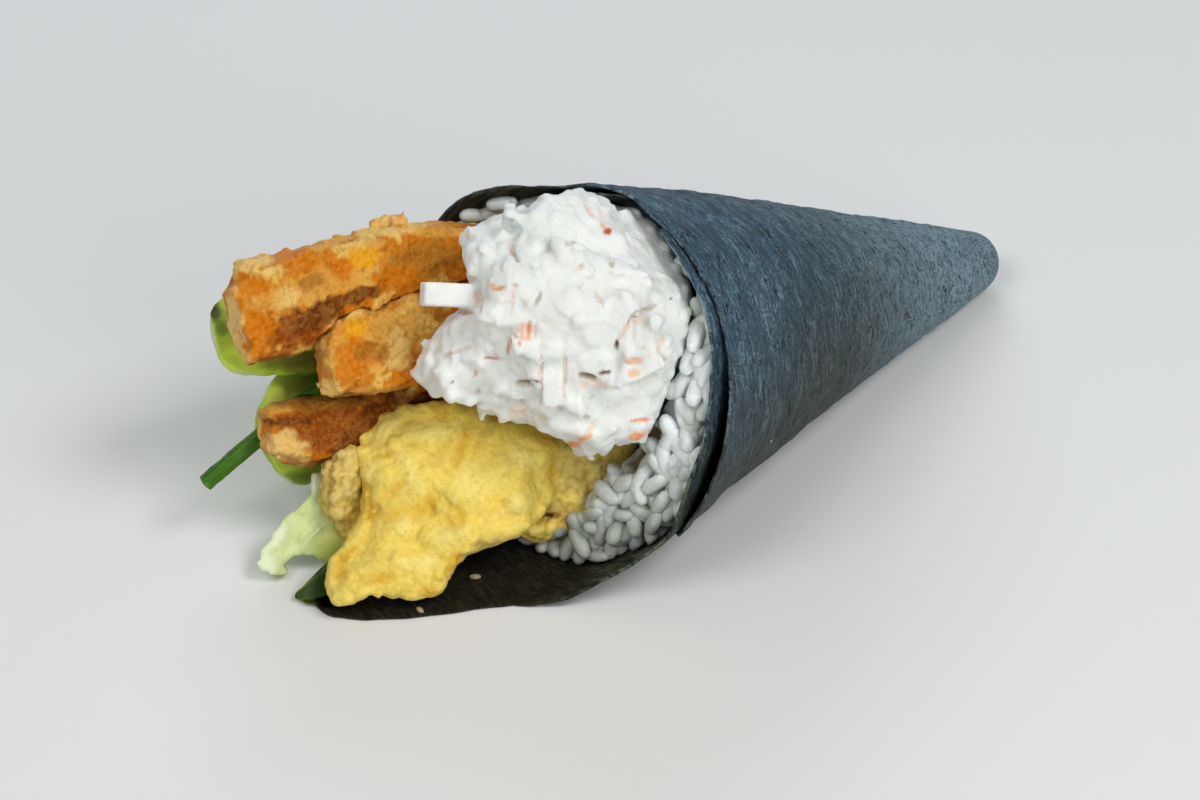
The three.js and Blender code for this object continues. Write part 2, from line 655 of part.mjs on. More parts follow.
const FINISH = {
  nori_wrap: { color: 0x2b3a42, roughness: 0.55 },
  rice: { color: 0xd9dcd6, roughness: 0.45 },
  crab_salad: { color: 0xf1efe8, roughness: 0.4 },
  fried_stick_upper: { color: 0xd98a3a, roughness: 0.6 },
  fried_stick_middle: { color: 0xdc9a4c, roughness: 0.6 },
  fried_stick_lower: { color: 0xc06a26, roughness: 0.6 },
  tempura_front: { color: 0xe8c850, roughness: 0.6 },
  tempura_back: { color: 0xa89850, roughness: 0.6 },
  tempura_far: { color: 0xb89858, roughness: 0.6 },
  avocado_upper: { color: 0x86b048, roughness: 0.45 },
  avocado_lower: { color: 0x7aa644, roughness: 0.45 },
  green_strip: { color: 0x3f7a34, roughness: 0.4 },
  cucumber_pale: { color: 0xc4dca0, roughness: 0.35 },
  cucumber_dark: { color: 0x2f5c30, roughness: 0.35 },
};

const group = new THREE.Group();
for (const [name, finish] of Object.entries(FINISH)) {
  const material = new THREE.MeshStandardMaterial({ ...finish, metalness: 0 });
  const mesh = new THREE.Mesh(geometryOf(solids.get(name)), material);
  mesh.name = name;
  group.add(mesh);
}

export default group;
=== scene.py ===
"""Dresses the solids of a temaki hand roll: the nori sheet, the rice, the crab salad, the battered
sticks, the tempura and the greens, and lights them on a plain stage."""

import itertools
import math

import bmesh
import bpy
import numpy as np
from bpy.props import FloatProperty, FloatVectorProperty, IntProperty, PointerProperty
from mathutils import Matrix, Quaternion, Vector
from mathutils.bvhtree import BVHTree


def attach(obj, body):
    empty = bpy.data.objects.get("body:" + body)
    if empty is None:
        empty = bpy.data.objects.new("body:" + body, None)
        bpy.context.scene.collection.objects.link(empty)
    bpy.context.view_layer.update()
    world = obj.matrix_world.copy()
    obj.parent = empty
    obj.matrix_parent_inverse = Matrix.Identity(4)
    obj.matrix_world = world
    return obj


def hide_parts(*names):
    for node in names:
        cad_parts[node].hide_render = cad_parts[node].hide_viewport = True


bl_info = {
    "name": "Temaki Hand Roll",
    "version": (1, 0, 0),
    "blender": (4, 5, 0),
    "location": "View3D > Sidebar > Hand Roll",
    "description": "Dresses a hand roll with nori, rice, crab salad, fried pieces and greens",
    "category": "Mesh",
}

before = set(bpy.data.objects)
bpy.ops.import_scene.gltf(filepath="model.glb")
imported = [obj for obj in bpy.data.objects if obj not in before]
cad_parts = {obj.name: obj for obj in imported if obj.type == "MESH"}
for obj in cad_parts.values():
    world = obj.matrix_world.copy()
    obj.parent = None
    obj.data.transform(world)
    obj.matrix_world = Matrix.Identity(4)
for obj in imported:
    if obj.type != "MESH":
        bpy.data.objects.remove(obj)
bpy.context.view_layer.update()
MM = 0.001

# ---- The roll's own measures, in millimetres and degrees, as its solids have them

MOUTH_RADIUS = 32.0
HALF_ANGLE = math.radians(14.81)
MOUTH_SLANT = MOUTH_RADIUS / math.sin(HALF_ANGLE)
# How far the cone's true form sinks into the floor, so that the roll rests on a flat line.
SETTLE = 0.5
# The gap between two turns of the sheet, and how much wider it is low on the near side.
LAP_GAP = 0.35
LOOSE = 0.8
# How far the lip stands out low down, and how far the top sags.
FLARE = 2.4
SAG = 0.7
# The rounded tip: distance from the apex, length, and the slope at its hole.
TIP_AXIAL = 22.5
TIP_LENGTH = 4.6
TIP_HOLE = 72.0
# Where the sheet starts, how far it is wound, and half the width of the tongue that lies flat.
START_TURN = 165.0
WRAP = 480.0
TONGUE_TURN = 45.0
# How far the first turn draws in from the one round it.
PARTING = 1.5
# The sheet's cut edge: degrees wound, and distance from the apex as a share of MOUTH_SLANT.
CUT_EDGE = (
    (0, 1.006), (25, 1.01), (38, 1.014), (50, 1.018), (60, 1.022), (70, 1.029), (80, 1.042),
    (90, 1.054), (100, 1.054), (110, 1.056), (118, 1.075), (126, 1.10), (134, 1.135), (149, 1.195),
    (157, 1.268), (164, 1.327), (171, 1.375), (177, 1.392), (183, 1.375), (187, 1.30), (190, 1.24),
    (200, 1.13), (214, 1.07), (232, 1.06), (255, 1.09), (278, 1.106), (288, 1.094), (297, 1.07),
    (305, 1.03), (311, 0.99), (330, 0.985), (345, 0.995), (357, 1.008), (367, 0.995), (388, 0.99),
    (410, 0.998), (421, 1.006), (432, 1.018), (442, 1.03), (452, 1.036), (462, 1.036), (472, 1.018),
    (480, 0.96),
)
# How far the rice reaches out of the mouth: turn, distance out.
RICE_EDGE = (
    (-180, -8), (-150, -3), (-125, 4), (-100, 1), (-60, 1), (-25, 5), (0, 8), (25, 8.5), (45, 5.5),
    (65, 4.5), (85, 3.8), (105, 2.6), (125, 1.0), (140, -3), (180, -8),
)
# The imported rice's own edge, before its grains build it up.
PACKED_EDGE = (
    (-180, -8), (-150, -3), (-125, 4), (-100, 1), (-60, 1), (-25, 5), (0, 8), (25, 8.5), (50, 4),
    (80, 0.5), (110, -2), (140, -4), (180, -8),
)

APEX = np.array((MOUTH_SLANT, 0.0, -SETTLE))
OUTWARD = np.array((-math.cos(HALF_ANGLE), 0.0, math.sin(HALF_ANGLE)))
UPWARD = np.array((math.sin(HALF_ANGLE), 0.0, math.cos(HALF_ANGLE)))
NEAR = np.array((0.0, -1.0, 0.0))
MOUTH_AXIAL = MOUTH_SLANT * math.cos(HALF_ANGLE)
MOUTH_CENTRE = APEX + OUTWARD * MOUTH_AXIAL

# ---- The stage camera, in metres, and its picture in pixels. Small features are placed through it.

EYE = Vector((-0.344954, -0.392370, 0.434074))
AIM = Vector((0.008310, 0.0, 0.021581))
LENS = 115.17
SENSOR = 36.0
PICTURE = (1200, 800)
FOCAL = LENS / SENSOR * PICTURE[0]
BACK = (EYE - AIM).normalized()
RIGHT = Vector((0, 0, 1)).cross(BACK).normalized()
OVER = BACK.cross(RIGHT)
# The same as arrays, the camera's place in millimetres, and about how far off the fillings are.
EYE_MM = np.array(EYE) / MM
TO_EYE, TO_RIGHT, TO_TOP = np.array(BACK), np.array(RIGHT), np.array(OVER)
PILE_DISTANCE = 650


def line_of_sight(x, y):
    """The direction from the camera through a place in its picture."""
    return (RIGHT * (x - PICTURE[0] / 2) - OVER * (y - PICTURE[1] / 2) - BACK * FOCAL).normalized()


def sight_place(x, y, far):
    """The place, in millimetres, that is seen at a picture place and lies far from the camera."""
    return EYE_MM + np.array(line_of_sight(x, y)) * far


def in_picture(points):
    """Picture places (N, 2) and distances along the view (N,) of points in millimetres."""
    away = points * MM - np.array(EYE)
    depth = -(away @ TO_EYE)
    x = PICTURE[0] / 2 + FOCAL * (away @ TO_RIGHT) / depth
    y = PICTURE[1] / 2 - FOCAL * (away @ TO_TOP) / depth
    return np.stack((x, y), axis=1), depth / MM


def picture_size(pixels):
    """What a length in the picture is on the fillings, in millimetres."""
    return pixels / FOCAL * PILE_DISTANCE


def across_view(points, shift, depth):
    """Points moved across the view by a shift in the picture's pixels."""
    across = shift[:, :1] * TO_RIGHT - shift[:, 1:] * TO_TOP
    return points + across * (depth / FOCAL)[:, None]


# ---- Repeatable noise on arrays of points in millimetres

TABLE_SIZE = 256
_draw = np.random.default_rng(11)
HASH = np.tile(_draw.permutation(TABLE_SIZE), 2)
SLOPES = _draw.normal(size=(TABLE_SIZE, 3))
SLOPES /= np.linalg.norm(SLOPES, axis=1)[:, None]
SCATTER = _draw.random((TABLE_SIZE, 3))


def hashed(cell):
    """A repeatable number for each cell of a grid."""
    x, y, z = (cell[:, axis] & (TABLE_SIZE - 1) for axis in range(3))
    return HASH[HASH[HASH[x] + y] + z]


def ripple(points, size, seed=0):
    """Smooth noise, about -1 to 1, with bumps about size apart."""
    place = points / size + 37.7 * (seed + 1)
    cell = np.floor(place).astype(np.int64)
    part = place - cell
    ease = part**3 * (part * (part * 6 - 15) + 10)
    total = np.zeros(len(points))
    for corner in itertools.product((0, 1), repeat=3):
        offset = np.array(corner)
        weight = np.prod(np.where(offset, ease, 1 - ease), axis=1)
        slope = SLOPES[hashed(cell + offset)]
        total += weight * np.einsum("ij,ij->i", slope, part - offset)
    return total * 1.7


def ripples(points, size, seed=0, octaves=3, gain=0.5):
    """Ripples of several sizes, each half as wide as the one before and lower by the gain."""
    return sum(gain**k * ripple(points, size / 2**k, seed + 5 * k) for k in range(octaves))


def beads(points, size, seed=0):
    """Rounded bumps packed side by side: 1 at the middle of each and 0 in the creases."""
    place = points / size + 11.3 * (seed + 1)
    cell = np.floor(place).astype(np.int64)
    nearest = np.full(len(points), 9.0)
    for corner in itertools.product((-1, 0, 1), repeat=3):
        other = cell + np.array(corner)
        middle = other + SCATTER[hashed(other)]
        nearest = np.minimum(nearest, np.sum((middle - place) ** 2, axis=1))
    return np.clip(1 - nearest / 0.75, 0, 1)


def smooth_step(value, low, high):
    """Rises smoothly from 0 at low to 1 at high."""
    share = np.clip((np.asarray(value, float) - low) / (high - low), 0, 1)
    return share * share * (3 - 2 * share)


# ---- Meshes

def points_of(mesh):
    """A mesh's points, in millimetres."""
    flat = np.empty(len(mesh.vertices) * 3, np.float32)
    mesh.vertices.foreach_get("co", flat)
    return flat.reshape(-1, 3).astype(float) / MM


def normals_of(mesh):
    flat = np.empty(len(mesh.vertices) * 3, np.float32)
    mesh.vertex_normals.foreach_get("vector", flat)
    return flat.reshape(-1, 3).astype(float)


def put_points(mesh, points):
    """Moves a mesh's points to places in millimetres."""
    mesh.vertices.foreach_set("co", (points * MM).astype(np.float32).ravel())
    mesh.update()


def surface_of(mesh):
    """A mesh's faces, ready for finding places on them."""
    return BVHTree.FromPolygons([v.co for v in mesh.vertices], [p.vertices for p in mesh.polygons])


def give(mesh, name, values):
    """Stores one number, or one colour, for each vertex."""
    kind, key = ("FLOAT_COLOR", "color") if np.ndim(values) == 2 else ("FLOAT", "value")
    layer = mesh.attributes.new(name, kind, "POINT")
    layer.data.foreach_set(key, values.astype(np.float32).ravel())


def object_from(bm, name):
    mesh = bpy.data.meshes.new(name)
    bm.to_mesh(mesh)
    bm.free()
    made = bpy.data.objects.new(name, mesh)
    bpy.context.scene.collection.objects.link(made)
    return made


def solid_copy(node):
    """A bmesh of a solid of the roll, its loose triangles merged."""
    bm = bmesh.new()
    bm.from_mesh(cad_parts[node].data)
    bmesh.ops.remove_doubles(bm, verts=bm.verts, dist=1e-6)
    return bm


def fuse(made, voxel, passes):
    """Melts what overlaps into one even skin with cells of a voxel, in millimetres, and smooths it."""
    skin = made.modifiers.new("skin", "REMESH")
    skin.mode = "VOXEL"
    skin.voxel_size = voxel * MM
    soften = made.modifiers.new("soften", "SMOOTH")
    soften.factor = 0.5
    soften.iterations = passes
    ready = made.evaluated_get(bpy.context.evaluated_depsgraph_get())
    mesh = bpy.data.meshes.new_from_object(ready)
    made.modifiers.clear()
    old = made.data
    made.data = mesh
    bpy.data.meshes.remove(old)
    mesh.name = made.name
    return mesh


def shade_smooth(mesh):
    mesh.polygons.foreach_set("use_smooth", np.ones(len(mesh.polygons), bool))


def finished(made, node, material):
    """Hands a piece over: it stands for its solid, rides on the roll and wears its material."""
    shade_smooth(made.data)
    made.data.materials.clear()
    made.data.materials.append(material)
    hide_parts(node)
    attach(made, "root")
    return made


def lump(bm, at, radii, turned=None, subdivisions=2):
    """Adds a rounded lump, in millimetres."""
    spin = (turned or Quaternion()).to_matrix().to_4x4()
    size = Matrix.Diagonal((*(r * MM for r in radii), 1))
    matrix = Matrix.Translation(Vector(at) * MM) @ spin @ size
    bmesh.ops.create_icosphere(bm, subdivisions=subdivisions, radius=1, matrix=matrix)


def any_turn(draw):
    """A drawn turn, for lumps that lie anyhow."""
    return Quaternion(draw.normal(size=3), draw.uniform(0, 3))


def block(bm, at, size, turned):
    """Adds a square-cut piece, in millimetres."""
    spin = turned.to_matrix().to_4x4()
    matrix = Matrix.Translation(Vector(at) * MM) @ spin @ Matrix.Diagonal((*(s * MM for s in size), 1))
    bmesh.ops.create_cube(bm, size=1, matrix=matrix)


# Distances from the camera, in metres, at which a line of sight is tried beside a piece that it misses.
NEARBY = [0.55 + 0.0025 * step for step in range(120)]


def seen_at(tree, x, y):
    """Where the line of sight through a picture place meets a surface, or passes closest to it, in
    millimetres, with the surface's direction out."""
    way = line_of_sight(x, y)
    place, out, _, _ = tree.ray_cast(EYE, way)
    if place is None:
        best = math.inf
        for far in NEARBY:
            probe = EYE + way * far
            _, direction, _, apart = tree.find_nearest(probe)
            if apart < best:
                best, place, out = apart, probe, direction
    elif out.dot(way) > 0:
        out = -out
    return np.array(place) / MM, np.array(out)


def raised(points, floor):
    """Slides points that lie too low toward the stage camera, until they are at the floor's height."""
    share = np.maximum(floor - points[:, 2], 0) / (EYE_MM[2] - points[:, 2])
    return points + (EYE_MM - points) * share[:, None]


def pulled(points, moves, reach):
    """Shifts points across the view. Each move takes what is seen at one picture place to another."""
    seen, depth = in_picture(points)
    shift = np.zeros_like(seen)
    weight = np.full(len(points), 0.35)
    for x, y, to_x, to_y in moves:
        pull = np.exp(-np.sum((seen - (x, y)) ** 2, axis=1) / reach**2)
        shift += pull[:, None] * (to_x - x, to_y - y)
        weight += pull
    return across_view(points, shift / weight[:, None], depth)


# ---- Marks: small features, painted shade and painted highlights seen from the stage camera, on whatever surface is there.
# Each is (x, y, half width, half height, tilt in degrees, colour, relief in millimetres).

def mark_masks(made, marks, ragged, grain, edge, seed):
    """For each mark, how strongly it shows at each vertex."""
    mesh = made.data
    points, out = points_of(mesh), normals_of(mesh)
    seen, depth = in_picture(points)
    tree = surface_of(mesh)
    toward = (EYE_MM - points) / depth[:, None]
    facing = smooth_step(np.einsum("ij,ij->i", out, toward), -0.1, 0.25)
    rough = ragged * ripples(points, grain, 70 + seed)
    for x, y, wide, high, tilt, _, _ in marks:
        place, _ = seen_at(tree, x, y)
        _, middle = in_picture(place[None])
        angle = math.radians(tilt)
        across = (seen[:, 0] - x) * math.cos(angle) - (seen[:, 1] - y) * math.sin(angle)
        along = (seen[:, 0] - x) * math.sin(angle) + (seen[:, 1] - y) * math.cos(angle)
        radius = np.sqrt((across / wide) ** 2 + (along / high) ** 2) + rough
        near = 1 - smooth_step(np.abs(depth - middle), 6, 9)
        yield (1 - smooth_step(radius, *edge)) * near * facing


def mark(made, marks, colours, ragged=0.35, grain=2.2, edge=(0.6, 1.15), seed=0):
    """Raises or presses in each mark, and stores its colour with its strength as the fourth value."""
    mesh = made.data
    points, out = points_of(mesh), normals_of(mesh)
    tint = np.zeros((len(points), 4))
    for mask, (*_, colour, relief) in zip(mark_masks(made, marks, ragged, grain, edge, seed), marks):
        points += out * (mask * relief)[:, None]
        if colour:
            part = (mask * colours[colour][3])[:, None]
            tint = tint * (1 - part) + np.array((*colours[colour][:3], 1)) * part
    tint[:, :3] /= np.maximum(tint[:, 3:], 1e-3)
    put_points(mesh, points)
    give(mesh, "mark", tint)


# Directions in which a piece's reach is taken, and the pixels over which a fit fades out.
FIT_STEPS = 120
FIT_FADE = 25


def fitted(points, outline, middle, hidden=None):
    """Fits a piece to the outline that is seen of it, given as picture places all round its middle.

    What lies right of the picture place hidden is covered by other pieces, and keeps its place.
    """
    seen, depth = in_picture(points)
    away = seen - middle
    angle, radius = np.arctan2(away[:, 1], away[:, 0]), np.hypot(away[:, 0], away[:, 1])
    rim = np.array(outline, float) - middle
    rim_angle, rim_radius = np.arctan2(rim[:, 1], rim[:, 0]), np.hypot(rim[:, 0], rim[:, 1])
    wanted = np.interp(angle, rim_angle, rim_radius, period=2 * math.pi)
    reach = np.zeros(FIT_STEPS)
    step = ((angle + math.pi) / (2 * math.pi) * FIT_STEPS).astype(int) % FIT_STEPS
    np.maximum.at(reach, step, radius)
    centres = (np.arange(FIT_STEPS) + 0.5) / FIT_STEPS * 2 * math.pi - math.pi
    present = np.interp(angle, centres, reach, period=2 * math.pi)
    grow = (wanted / np.maximum(present, 1) - 1) * np.clip(radius / np.maximum(present, 1), 0, 1) ** 2
    if hidden is not None:
        grow = grow * np.clip((hidden + FIT_FADE - seen[:, 0]) / FIT_FADE, 0, 1)
    return across_view(points, away * grow[:, None], depth)


def within(outline, x, y):
    """Whether a picture place lies inside an outline."""
    inside = False
    for (ax, ay), (bx, by) in zip(outline, outline[1:] + outline[:1]):
        if (ay > y) != (by > y) and x < (bx - ax) * (y - ay) / (by - ay) + ax:
            inside = not inside
    return inside


# ---- Materials

class Finish:
    """A node material being put together."""

    def __init__(self, name):
        self.material = bpy.data.materials.new(name)
        self.material.use_nodes = True
        self.tree = self.material.node_tree
        self.surface = self.tree.nodes["Principled BSDF"]
        self.coordinates = self.tree.nodes.new("ShaderNodeTexCoord")

    def place(self):
        """The place on the roll that is being shaded."""
        return self.coordinates.outputs["Object"]

    def put(self, node, socket, value):
        """Links a value to a socket, or sets it there."""
        if isinstance(value, bpy.types.NodeSocket):
            self.tree.links.new(value, node.inputs[socket])
        else:
            node.inputs[socket].default_value = value

    def add(self, kind, **settings):
        node = self.tree.nodes.new(kind)
        for key, value in settings.items():
            setattr(node, key, value)
        return node

    def own(self, name, output="Fac"):
        """A value that the piece's mesh carries."""
        return self.add("ShaderNodeAttribute", attribute_name=name).outputs[output]

    def noise(self, size, detail=3.0, roughness=0.55, vector=None, distortion=0.0):
        """Noise with features about size millimetres apart."""
        node = self.add("ShaderNodeTexNoise")
        self.put(node, "Vector", vector or self.place())
        self.put(node, "Scale", 1 / (size * MM))
        self.put(node, "Detail", detail)
        self.put(node, "Roughness", roughness)
        self.put(node, "Distortion", distortion)
        return node.outputs["Fac"]

    def turned_map(self, angle):
        """The sheet's own map, turned by an angle."""
        node = self.add("ShaderNodeMapping")
        self.put(node, "Vector", self.coordinates.outputs["UV"])
        self.put(node, "Rotation", (0, 0, angle))
        return node.outputs["Vector"]

    def stretched(self, scale, vector=None):
        """The sheet's own map, or a turned one, stretched."""
        node = self.add("ShaderNodeMapping")
        self.put(node, "Vector", vector or self.coordinates.outputs["UV"])
        self.put(node, "Scale", scale)
        return node.outputs["Vector"]

    def range(self, value, low, high, to_low=0.0, to_high=1.0):
        """Eases from one number to another while a value goes from low to high."""
        node = self.add("ShaderNodeMapRange", interpolation_type="SMOOTHSTEP")
        for socket, number in zip(range(5), (value, low, high, to_low, to_high)):
            self.put(node, socket, number)
        return node.outputs[0]

    def mix(self, share, low, high):
        """One colour where the share is 0 and the other where it is 1."""
        node = self.add("ShaderNodeMix", data_type="RGBA")
        self.put(node, 0, share)
        self.put(node, 6, low)
        self.put(node, 7, high)
        return node.outputs[2]

    def sum(self, first, second, operation="ADD"):
        """Adds two values, or joins them by another operation."""
        node = self.add("ShaderNodeMath", operation=operation)
        self.put(node, 0, first)
        self.put(node, 1, second)
        return node.outputs[0]

    def blend(self, parts):
        """The sum of some values, each taken by its share."""
        total = 0.0
        for value, share in parts:
            total = self.sum(self.sum(value, share, "MULTIPLY"), total)
        return total

    def bump(self, height, distance, strength=1.0, normal=None):
        """Relief of a height from 0 to 1, its full depth given in millimetres."""
        node = self.add("ShaderNodeBump")
        self.put(node, "Strength", strength)
        self.put(node, "Distance", distance * MM)
        self.put(node, "Height", height)
        if normal:
            self.put(node, "Normal", normal)
        return node.outputs["Normal"]

    def close(self, **sockets):
        """Sets the surface's sockets: underscores in a name stand for blanks."""
        for name, value in sockets.items():
            self.put(self.surface, name.replace("_", " "), value)
        return self.material


def shade(colour, lift=1.0):
    """A setting's colour for a socket, made lighter or darker."""
    return (*(channel * lift for channel in colour), 1.0)


# ---- Settings

class NoriSettings(bpy.types.PropertyGroup):
    sheet: FloatProperty(
        name="Sheet", description="Thickness of the nori", default=0.6 * MM, unit="LENGTH"
    )
    wave: FloatProperty(
        name="Wave", description="Height of the soft waves", default=0.28 * MM, unit="LENGTH"
    )
    crinkle: FloatProperty(
        name="Crinkle", description="Height of the fine crinkles", default=0.22 * MM, unit="LENGTH"
    )
    outside: FloatVectorProperty(
        name="Outside", description="Colour of the smooth side", subtype="COLOR",
        default=(0.070, 0.152, 0.226),
    )
    inside: FloatVectorProperty(
        name="Inside", description="Colour of the rough side", subtype="COLOR",
        default=(0.044, 0.039, 0.023),
    )


class RiceSettings(bpy.types.PropertyGroup):
    length: FloatProperty(name="Length", description="Length of a grain", default=6.2 * MM, unit="LENGTH")
    width: FloatProperty(name="Width", description="Width of a grain", default=2.9 * MM, unit="LENGTH")
    grains: IntProperty(name="Grains", description="How many grains are laid", default=900)
    colour: FloatVectorProperty(
        name="Colour", description="Colour of the grains", subtype="COLOR",
        default=(0.86, 0.92, 0.93),
    )


class CrabSettings(bpy.types.PropertyGroup):
    flakes: IntProperty(name="Flakes", description="How many flakes show", default=640)
    colour: FloatVectorProperty(
        name="Colour", description="Colour of the salad", subtype="COLOR",
        default=(0.87, 0.895, 0.855),
    )


class FrySettings(bpy.types.PropertyGroup):
    crag: FloatProperty(
        name="Crag", description="Height of the batter's crags", default=0.32 * MM, unit="LENGTH"
    )
    crust: FloatVectorProperty(
        name="Crust", description="Colour of the thin pale crust", subtype="COLOR",
        default=(0.86, 0.53, 0.12),
    )
    fried: FloatVectorProperty(
        name="Fried", description="Colour of the well fried batter", subtype="COLOR",
        default=(0.60, 0.175, 0.002),
    )


class TempuraSettings(bpy.types.PropertyGroup):
    puff: FloatProperty(
        name="Puff", description="Height of the batter's puffs", default=1.0 * MM, unit="LENGTH"
    )
    light: FloatVectorProperty(
        name="Light", description="Colour of the puffed batter", subtype="COLOR",
        default=(0.90, 0.69, 0.13),
    )
    gold: FloatVectorProperty(
        name="Gold", description="Colour in the batter's hollows", subtype="COLOR",
        default=(0.78, 0.48, 0.035),
    )


class GreensSettings(bpy.types.PropertyGroup):
    avocado: FloatVectorProperty(
        name="Avocado", description="Colour of the avocado's flesh", subtype="COLOR",
        default=(0.43, 0.55, 0.05),
    )
    cucumber: FloatVectorProperty(
        name="Cucumber", description="Colour of the cucumber's flesh", subtype="COLOR",
        default=(0.58, 0.67, 0.30),
    )
    skin: FloatVectorProperty(
        name="Skin", description="Colour of the cucumber's skin", subtype="COLOR",
        default=(0.042, 0.140, 0.003),
    )


class StageSettings(bpy.types.PropertyGroup):
    floor: FloatVectorProperty(
        name="Floor", description="Colour of the floor", subtype="COLOR",
        default=(0.80, 0.80, 0.79),
    )
    key: FloatProperty(
        name="Key light", description="Strength of the key light", default=4.0, unit="POWER"
    )
    sky: FloatProperty(name="Sky", description="Strength of the light all round", default=0.16)


def settings(name):
    """The values that a user can change for a group of pieces."""
    return getattr(bpy.context.scene, "hand_roll_" + name)


# ---- The nori sheet

def radial(turn):
    """Directions from the axis out to the side, at turns in degrees from the floor line."""
    angle = np.radians(turn)[..., None]
    return -np.cos(angle) * UPWARD + np.sin(angle) * NEAR


def lap_depth(wound, share, sheet):
    """How far the first turn lies inside the one that covers it."""
    covered = 1 - smooth_step(wound, START_TURN - 43, START_TURN - 12)
    low = smooth_step(wound, 20, 75) * (1 - smooth_step(wound, 86, 112)) * share**3
    return covered * (sheet + LAP_GAP + LOOSE * low)


def parting(wound, share):
    """How far the first turn draws in from the one round it."""
    turn = START_TURN - wound
    first = 1 - smooth_step(wound, 120, 152)
    side = smooth_step(turn, 56, 84) * (1 - smooth_step(turn, 94, 132))
    return PARTING * first * side * smooth_step(share, 0.78, 0.94)


def fullness(turn, share, wave):
    """How far the roll stands out of a true cone: waves, the lip low down and the sagging top."""
    angle = np.radians(turn)
    ring = np.stack((np.cos(angle) * 1.6, np.sin(angle) * 1.6, share * 3), axis=-1)
    shape = turn.shape
    wide = ripple(ring.reshape(-1, 3), 1, 3).reshape(shape)
    fine = ripple(ring.reshape(-1, 3) * 2.7, 1, 9).reshape(shape)
    waves = (wide + 0.5 * fine) * 2 * wave * smooth_step(share, 0.2, 0.5)

    def hump(middle, width):
        return np.exp(-((((turn - middle + 540) % 360 - 180) / width) ** 2))

    lip = FLARE * hump(50, 38) * smooth_step(share, 0.84, 1.1)
    sag = SAG * hump(-165, 45) * smooth_step(share, 0.8, 1)
    return waves + lip - sag


def cut_edge(wound):
    """The cut edge's share, its corners eased and a little uneven."""
    places, shares = np.array(CUT_EDGE, float).T
    eased = sum(np.interp(wound + step, places, shares) for step in (-2.5, 0, 2.5)) / 3
    return eased + 0.0011 * np.sin(wound * 1.7) * np.sin(wound * 0.61) + 0.0006 * np.sin(wound * 5.3)


def sheet_points(wound, along, depth, sheet, wave):
    """Points of the sheet in millimetres. along goes from 0 at the tip's hole to 1 at the cut edge."""
    turn = START_TURN - wound
    tip_share = 0.08
    tip = along < tip_share
    slope = np.where(
        tip, math.radians(TIP_HOLE) + (HALF_ANGLE - math.radians(TIP_HOLE)) * along / tip_share, HALF_ANGLE
    )
    tip_radius = TIP_AXIAL * math.tan(HALF_ANGLE) * np.cos(slope) / math.cos(HALF_ANGLE)
    tip_axial = TIP_AXIAL - TIP_LENGTH * (np.sin(slope) - math.sin(HALF_ANGLE)) / (1 - math.sin(HALF_ANGLE))
    start = TIP_AXIAL / math.cos(HALF_ANGLE)
    slant = start + (MOUTH_SLANT * cut_edge(wound) - start) * (along - tip_share) / (1 - tip_share)
    axial = np.where(tip, tip_axial, slant * math.cos(HALF_ANGLE))
    radius = np.where(tip, tip_radius, slant * math.sin(HALF_ANGLE))
    share = axial / MOUTH_AXIAL
    inward = depth + lap_depth(wound, share, sheet) - fullness(turn, share, wave) + parting(wound, share)
    points = APEX + OUTWARD * (axial + np.sin(slope) * inward)[..., None]
    points += radial(turn) * np.maximum(radius - np.cos(slope) * inward, 0.25)[..., None]
    pressed = smooth_step(share, 1, 1.22) * (1 - smooth_step(np.abs(turn), 12, TONGUE_TURN))
    height = points[..., 2] * (1 - pressed) + depth * pressed
    points[..., 2] = np.maximum(height, depth)
    return points, slant


